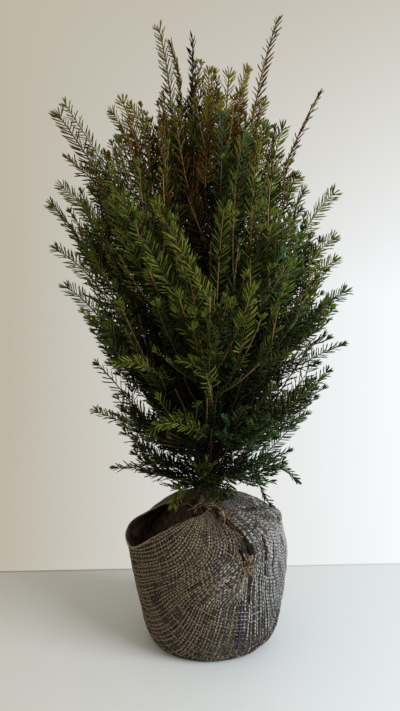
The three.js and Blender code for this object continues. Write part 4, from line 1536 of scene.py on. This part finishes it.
def strand(start, way, length, size, random, droop=0.0, curl=0.5, steps=6):
    """A loose fibre that wanders off from its start: corners and faces of a thin closed tube."""
    points = [np.array(start, float)]
    way = unit(np.array(way, float))
    for _ in range(steps):
        way = unit(way + random.normal(0, curl, 3) / steps + np.array((0, 0, -droop)) / steps)
        points.append(points[-1] + way * length / steps)
    points = np.array(points)
    across = unit(np.cross(np.diff(points, axis=0, append=points[-1:] + way), random.normal(0, 1, 3)))
    return thread_tube(points, across, (size, size))


def wrap_ball():
    """The wrap as one sheet, with its yarns and its bound edge."""
    cloth = Cloth()
    sheet = cloth_mesh(cloth)
    solidify = sheet.modifiers.new("thickness", "SOLIDIFY")
    solidify.thickness = CLOTH_THICKNESS * MM
    solidify.offset = -1
    solidify.material_offset = 1
    sheet.data.materials.append(sacking_material())
    sheet.data.materials.append(noisy_material(
        "sacking_inside", (0.026, 0.015, 0.009), (0.135, 0.086, 0.056), 60, 0.95, 0.8, 500))
    apply_modifiers(sheet)
    smooth_faces(sheet)
    put_on(sheet, "sacking", "sacking_wrap")
    finishes = tinted_finishes(YARN_TINTS, YARN_DARK, YARN_GRAIN)
    laid = []
    for name, parts in (
        ("sacking_wrap_weft", lay_yarns(cloth, True)), ("sacking_wrap_warp", lay_yarns(cloth, False)),
        ("sacking_wrap_edge", edge_binding(cloth)),
    ):
        laid.append(mesh_piece(name, parts, finishes))
        put_on(laid[-1], "sacking")
    return sheet, laid


def corner_path():
    """Where the two rolled corners lie, from beside the stem down inside the fold to the knot, and the
    way out from the ball at each place."""
    share = np.linspace(0, 1, ROLL_PLACES)
    station = mix(ROLL_STARTS, FOLD_KNOT_STATION - 0.1, share)
    beside = 0.5 * np.interp(station, FOLD_STATIONS, FOLD_OPENINGS)
    turn = FOLD_KNOT_AT + fold_drift(station) - beside
    points = on_wrap(turn, station)
    out = unit(points - BALL_MIDDLE)
    lift = mix(*ROLL_LIFTS, smooth(*ROLL_SINKS, share)) + KNOT_RISE * smooth(*KNOT_RISES, share)
    return points + out * lift[:, None], out


def rolled_corners():
    """Two corners of the cloth rolled into a cord of folds, which end in a knot."""
    course = Course(corner_path()[0], (1, 0, 0))
    angle = np.linspace(0, 2 * np.pi, ROLL_SIDES, endpoint=False)
    share = np.linspace(0, 1, ROLL_STEPS)
    centre, _, side, back = course.at(share)
    along = share[:, None]
    folds = 1 + ROLL_FOLDS * np.abs(np.sin(1.5 * angle + 5 * along))
    folds = folds + ROLL_CREASES * np.sin(7 * angle - 9 * along)
    narrower = 1 - WAIST * smooth(*WAIST_ALONG, along) - END_NARROWS * smooth(*END_ALONG, along)
    radius = mix(*ROLL_RADII, along) * narrower
    radius = radius * (1 - START_NARROWS * (1 - smooth(0, START_ENDS, along)))
    rings = centre[:, None] + ring_ways(side, back, angle) * (radius * folds)[..., None]
    piece = mesh_piece("rolled_corners_gathered", [(*skin(rings, centre[0], centre[-1]), 0)], [
        noisy_material("rolled_sacking", (0.016, 0.010, 0.009), (0.066, 0.045, 0.038), 70, 0.95, 0.9, 700)])
    smooth_faces(piece)
    put_on(piece, "frayed_sacking", "rolled_corners")
    return piece


FRAY_TINTS = [
    ("fray_straw", (0.520, 0.385, 0.225)),
    ("fray_tan", (0.300, 0.200, 0.112)),
    ("fray_brown", (0.100, 0.064, 0.036)),
    ("fray_grey", (0.330, 0.310, 0.280)),
]
STRAW, FRAY_TAN, FRAY_BROWN, FRAY_GREY = range(4)
FRAY_DARK = 0.5
FRAY_GRAIN = 260

# Where the frayed end of the cloth lies, from beside the stem forwards to the top of the fold
FRAYED_END = [
    (-27, -66, 249), (-8, -60, 256), (6, -58, 257), (19, -70, 253), (29, -88, 246), (36, -99, 238),
]
FRAY_SEED = 44
KNOT_CLUMPS = 60
LIP_THREADS = 46
TUFT_THREADS = 120

# The fibres of the knot, of the fold's lip and of the frayed end: their lengths and half-widths, how much
# they hang and curl, which ways along they run, and the tints that they draw from
KNOT_FIBRES = {
    "length": (6, 17), "thick": (0.5, 1.25), "droop": 0.2, "curl": 2.2, "ways": (-1.0, 0.8),
    "tints": (STRAW, STRAW, FRAY_TAN, FRAY_BROWN),
}
LIP_FIBRES = {
    "length": (6, 18), "thick": (0.3, 0.6), "droop": 0.1, "curl": 1.8, "ways": (1.0, 1.0, -0.8),
    "tints": (STRAW, FRAY_TAN, FRAY_GREY, FRAY_GREY, FRAY_BROWN),
}
END_FIBRES = {
    "length": (8, 22), "thick": (0.4, 1.0), "droop": 0.35, "curl": 1.5, "ways": (1.0, 1.0, -1.0),
    "tints": (STRAW, STRAW, FRAY_TAN, FRAY_TAN, FRAY_BROWN),
}
KNOT_HALF_HEIGHT = 14
KNOT_SPREAD = 3.6
LIP_STATIONS = (5.8, 8.4)
END_SPREAD = 3.4

# The rolled corners: half their width from beside the stem to the knot, and their corners round and along
ROLL_STARTS = 9.6
ROLL_PLACES = 26
ROLL_RADII = (5.0, 6.5)
ROLL_SIDES = 40
ROLL_STEPS = 70
BALL_MIDDLE = np.array((0, 0, 150))

# They sink into the fold and rise again at the knot. Their folds and creases stand out by shares of the
# radius, and they narrow at the start, above the knot and at its end.
ROLL_LIFTS = (1, -9)
ROLL_SINKS = (0.1, 0.35)
KNOT_RISE = 8
KNOT_RISES = (0.84, 1)
ROLL_FOLDS = 0.24
ROLL_CREASES = 0.06
START_NARROWS = 0.75
START_ENDS = 0.08
WAIST = 0.2
WAIST_ALONG = (0.8, 0.9)
END_NARROWS = 0.5
END_ALONG = (0.94, 1)


def frayed_fibres():
    """Loose fibres at the knot, along the fold's edge and beside the stem."""
    random = np.random.default_rng(FRAY_SEED)
    points, outs = corner_path()
    out = outs[-1]
    knot = points[-1] + out * 5
    east = unit(np.cross(UP, out))
    at_knot, at_top = [], []

    def add(parts, kind, start, way, thick=None):
        length = random.uniform(*kind["length"])
        if thick is None:
            thick = random.uniform(*kind["thick"])
        fibre = strand(start, way, length, thick, random, kind["droop"], kind["curl"])
        parts.append((*fibre, int(random.choice(kind["tints"]))))

    for _ in range(KNOT_CLUMPS):
        high = random.uniform(-1, 1)
        aside = random.normal(1 - 3 * (high < -0.3), KNOT_SPREAD)
        start = knot + UP * high * KNOT_HALF_HEIGHT + east * aside
        start = start + out * random.uniform(-2, 2)
        way = UP * random.choice(KNOT_FIBRES["ways"]) + east * random.normal(0, 0.7)
        way = way + out * random.uniform(-0.1, 0.5)
        add(at_knot, KNOT_FIBRES, start, way, random.uniform(*KNOT_FIBRES["thick"]))
    for _ in range(LIP_THREADS):
        station = random.uniform(*LIP_STATIONS)
        opening = np.interp(station, FOLD_STATIONS, FOLD_OPENINGS)
        turn = FOLD_KNOT_AT + fold_drift(station) - opening - random.uniform(-0.5, 1.5)
        start = on_wrap(turn, station)
        face = unit(start - BALL_MIDDLE)
        start = start + face * random.uniform(-1.5, 1.5)
        down = unit(on_wrap(turn, station - 0.3) - on_wrap(turn, station + 0.3))
        way = down * random.choice(LIP_FIBRES["ways"]) + face * random.uniform(-0.05, 0.35)
        way = way + east * random.normal(0.1, 0.5)
        add(at_knot, LIP_FIBRES, start, way)
    end_course = Course(smooth_line(FRAYED_END), (0, 0, 1))
    for _ in range(TUFT_THREADS):
        place = random.uniform(0, 0.96)
        start, way, side, back = (row[0] for row in end_course.at(np.array([place])))
        spread = END_SPREAD * (1 - 0.5 * place)
        start = start + side * random.normal(-1.5, spread * 0.6) + back * random.normal(0, spread * 1.3)
        way = way * random.choice(END_FIBRES["ways"]) + random.normal(0, 0.4, 3)
        add(at_top, END_FIBRES, start, way)
    finishes = tinted_finishes(FRAY_TINTS, FRAY_DARK, FRAY_GRAIN)
    knot_piece = mesh_piece("rolled_corners_frays", at_knot, finishes)
    put_on(knot_piece, "frayed_sacking")
    top_piece = mesh_piece("frayed_end_fibres", at_top, finishes)
    put_on(top_piece, "frayed_sacking", "frayed_end")
    return [knot_piece, top_piece]


# Earth

HOLLOW_TURNS = (146, 182, 244, 284)
HOLLOW_RADII = (46, 116)
HOLLOW_FLOOR = 158
RIM_HEIGHT = 246
CLEAR_OF_FOLD = 0.12
CLEAR_OF_CLOTH = 0.05
UNDER_FOLD_AT = 299
UNDER_FOLD_WIDTH = 20
EARTH_MIDDLE = np.array((0, 0, 130))
EARTH_VOXEL = 0.0032
SAME_CORNER = 0.00005
CRUMB_SEED = 61
CRUMBS = 300
CRUMBS_ABOVE = 146
CRUMBS_WITHIN = (24, 118)
CRUMB_RING = (0.89, 0.45)
CRUMB_SIZES = (1, 3.6)
CRUMB_CORNERS_VARY = (0.65, 1.25)
CRUMB_SIDES_VARY = (0.7, 1.3)
CRUMB_LIFT = (0, 0, 0.5)
ROOTLETS = 44
ROOTLET_LENGTHS = (12, 34)
ROOTLET_THICK = (0.3, 0.75)
ROOTLET_DROOP = 1.1
ROOTLET_CURL = 1.8
ROOTLET_STEPS = 9


def crumb(place, size, random):
    """A rough lump of earth: corners and faces of an uneven ball of 12 corners."""
    turn = np.arange(5) * 72
    wide, high = CRUMB_RING
    ring = np.vstack([[(0, 0, -1)], around(turn, wide, -high), around(turn + 36, wide, high), [(0, 0, 1)]])
    shape = ring * random.uniform(*CRUMB_CORNERS_VARY, (12, 1))
    shape = shape * random.uniform(*CRUMB_SIDES_VARY, 3) * size
    faces = []
    for k in range(5):
        k2 = (k + 1) % 5
        faces += [(0, 1 + k2, 1 + k), (1 + k, 1 + k2, 6 + k), (1 + k2, 6 + k2, 6 + k), (6 + k, 6 + k2, 11)]
    return place + shape, np.array(faces)


def strew_crumbs(ground):
    """Crumbs of earth and fine roots over the earth that shows in the pocket."""
    random = np.random.default_rng(CRUMB_SEED)
    crumbs, roots = [], []
    for place in ground[random.integers(0, len(ground), CRUMBS)]:
        size = random.uniform(0.9, 1) ** 4 * random.uniform(*CRUMB_SIZES)
        crumbs.append((*crumb(place + CRUMB_LIFT, size, random), 0))
    for place in ground[random.integers(0, len(ground), ROOTLETS)]:
        way = level_out(place) + random.normal(0, 0.7, 3) + UP * 0.35
        thick, length = random.uniform(*ROOTLET_THICK), random.uniform(*ROOTLET_LENGTHS)
        root = strand(place, way, length, thick, random, ROOTLET_DROOP, ROOTLET_CURL, ROOTLET_STEPS)
        roots.append((*root, 0))
    piece = mesh_piece("root_ball_crumbs", crumbs, [
        noisy_material("loose_earth", (0.012, 0.008, 0.005), (0.085, 0.050, 0.027), 200, 1.0, 0.8, 700)])
    put_on(piece, "earth")
    piece = mesh_piece("root_ball_rootlets", roots, [
        noisy_material("fine_roots", (0.045, 0.024, 0.012), (0.190, 0.105, 0.052), 200, 0.85)])
    put_on(piece, "bark")


def even_earth():
    """The root ball's solid as one skin of small even faces."""
    piece = add_object("root_ball_earth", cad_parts["root_ball"].data.copy())
    piece.data.name = piece.name
    choose(piece)
    bpy.ops.object.mode_set(mode="EDIT")
    bpy.ops.mesh.select_all(action="SELECT")
    bpy.ops.mesh.remove_doubles(threshold=SAME_CORNER)
    bpy.ops.object.mode_set(mode="OBJECT")
    remesh = piece.modifiers.new("even", "REMESH")
    remesh.mode = "VOXEL"
    remesh.voxel_size = EARTH_VOXEL
    apply_modifiers(piece)
    return piece


def earth():
    """Packed earth, hollow where the pocket shows it, with crumbs and fine roots."""
    piece = even_earth()
    points = np.zeros(len(piece.data.vertices) * 3, np.float32)
    piece.data.vertices.foreach_get("co", points)
    points = points.reshape(-1, 3).astype(float) / MM
    turn = turn_of(points) % 360
    radius = from_axis(points)
    under_fold = np.exp(-((turn_between(UNDER_FOLD_AT, turn) / UNDER_FOLD_WIDTH) ** 2))
    under_fold = under_fold * smooth(150, 190, points[:, 2]) * smooth(30, 60, radius)
    inward = CLEAR_OF_CLOTH * smooth(50, 90, radius) + CLEAR_OF_FOLD * under_fold
    points = EARTH_MIDDLE + (points - EARTH_MIDDLE) * (1 - inward[:, None])
    opens, closes = smooth(*HOLLOW_TURNS[:2], turn), smooth(*HOLLOW_TURNS[2:], turn)
    hollow = opens * (1 - closes)
    x, y = points[:, 0], points[:, 1]
    lumps = 4 * np.sin(x / 9) * np.sin(y / 7 + 1) + 2 * np.sin(x / 4 + y / 5)
    floor = mix(RIM_HEIGHT, HOLLOW_FLOOR, smooth(*HOLLOW_RADII, radius)) + lumps * smooth(46, 60, radius)
    points[:, 2] = mix(points[:, 2], np.minimum(points[:, 2], floor), hollow)
    piece.data.vertices.foreach_set("co", (points * MM).astype(np.float32).ravel())
    piece.data.update()
    smooth_faces(piece)
    piece.data.materials.clear()
    piece.data.materials.append(noisy_material(
        "packed_earth", (0.010, 0.006, 0.004), (0.066, 0.038, 0.020), 90, 1.0, 1.0, 420))
    put_on(piece, "earth", "root_ball")
    bare = (hollow > 0.4) & (points[:, 2] > CRUMBS_ABOVE)
    strew_crumbs(points[bare & (radius > CRUMBS_WITHIN[0]) & (radius < CRUMBS_WITHIN[1])])


# Stage

EYE = (-0.011, -1.095, 0.555)
CAMERA_TILT = 87.5
LENS = 30.89
SENSOR_WIDTH = 36
LAMP_PLACE = (2.2, -1.6, 1.9)
LAMP_TURNS = (62, 0, 54)
LAMP_SIZE = 1.8
LAMP_POWER = 90
LAMP_TONE = (0.94, 0.97, 1.0)
FLOOR_SIZE = 40
FLOOR_LINE = 0.305
FLOOR_SLANT = 0.052
LEFT_TONE = (0.515, 0.473, 0.385)
RIGHT_TONE = (0.930, 0.960, 0.985)
NEAR_TONES = ((0.70, 0.70, 0.685), (0.80, 0.86, 0.93))
SEAM_TONES = ((0.42, 0.41, 0.39), (0.68, 0.74, 0.80))
WALL_ACROSS = (-0.3, 0.3)
WALL_UP = (0.05, 0.5, 1.0, 0.12)
FLOOR_ACROSS = (-0.34, 0.3)
FLOOR_ENDS = (1.5, 3.0)


def wall_tone(tree, vector):
    """The far surroundings' tone in a direction: warm grey on the left and above, cool on the right."""
    way = vector_node(tree, "NORMALIZE", {0: vector})
    sides = add_node(tree, "SeparateXYZ", {"Vector": way}).outputs
    rightward = span_node(tree, sides["X"], *WALL_ACROSS)
    low = span_node(tree, sides["Z"], *WALL_UP)
    return tone_node(tree, math_node(tree, "MULTIPLY", rightward, low), LEFT_TONE, RIGHT_TONE)


def floor_material():
    """A pale floor with painted light, warm grey on the left and brighter and cooler to the right, that
    glows with the wall's painted tone a little way behind the plant.
    """
    material = plain_material("floor_pale", (0.6, 0.6, 0.6), 0.6, 0.3)
    tree = material.node_tree
    place = add_node(tree, "TexCoord", {}).outputs["Object"]
    sides = add_node(tree, "SeparateXYZ", {"Vector": place}).outputs
    back = math_node(tree, "MAXIMUM", math_node(tree, "ADD", sides["Y"], 1.1), 0.5)
    share = span_node(tree, math_node(tree, "DIVIDE", sides["X"], back), *FLOOR_ACROSS)
    # The near floor's tone is painted light: warm grey on the left, brighter and cool on the right
    near, joint = tone_node(tree, share, *NEAR_TONES), tone_node(tree, share, *SEAM_TONES)
    slant = math_node(tree, "MULTIPLY", sides["X"], -FLOOR_SLANT)
    depth = math_node(tree, "ADD", sides["Y"], slant)
    behind = span_node(tree, depth, FLOOR_LINE - 0.001, FLOOR_LINE + 0.001)
    seam = span_node(tree, depth, FLOOR_LINE - 0.009, FLOOR_LINE - 0.007)
    shade_surface(tree, tone_node(tree, seam, near, joint))
    # Behind the line and far off the floor glows with the wall's tone, painted light of a backdrop
    seen = vector_node(tree, "SUBTRACT", {0: place, 1: EYE})
    glow = add_node(tree, "Emission", {"Color": wall_tone(tree, seen)})
    far = span_node(tree, vector_node(tree, "LENGTH", {0: place}, "Value"), *FLOOR_ENDS)
    mixed = add_node(tree, "MixShader", {
        "Fac": math_node(tree, "MAXIMUM", behind, far),
        1: tree.nodes["Principled BSDF"].outputs["BSDF"], 2: glow.outputs["Emission"],
    })
    tree.links.new(mixed.outputs["Shader"], tree.nodes["Material Output"].inputs["Surface"])
    return material


def studio_world():
    """Soft light all round: warm grey from the left and above, bright and cool from the right."""
    world = bpy.data.worlds.new("studio")
    bpy.context.scene.world = world
    world.use_nodes = True
    tree = world.node_tree
    background = tree.nodes["Background"].inputs
    place = add_node(tree, "TexCoord", {}).outputs["Generated"]
    tree.links.new(wall_tone(tree, place), background["Color"])
    background["Strength"].default_value = 1.0


def stage():
    bpy.ops.mesh.primitive_plane_add(size=FLOOR_SIZE)
    plane = bpy.context.object
    plane.name = "floor"
    plane.data.materials.append(floor_material())
    studio_world()
    bpy.context.scene.view_settings.view_transform = "Standard"
    bpy.ops.object.light_add(type="AREA", location=LAMP_PLACE)
    lamp = bpy.context.object
    lamp.rotation_euler = [math.radians(turn) for turn in LAMP_TURNS]
    lamp.data.shape = "RECTANGLE"
    lamp.data.size = lamp.data.size_y = LAMP_SIZE
    lamp.data.energy = LAMP_POWER
    lamp.data.color = LAMP_TONE
    bpy.ops.object.camera_add(location=EYE, rotation=(math.radians(CAMERA_TILT), 0, 0))
    camera = bpy.context.object
    camera.data.lens = LENS
    camera.data.sensor_width = SENSOR_WIDTH
    bpy.context.scene.camera = camera


bpy.ops.object.select_all(action="DESELECT")
boughs = grow_boughs()
dress_crown(boughs)
bark(boughs)
sheet, laid = wrap_ball()
roll = rolled_corners()
frays = frayed_fibres()
earth()
stage()
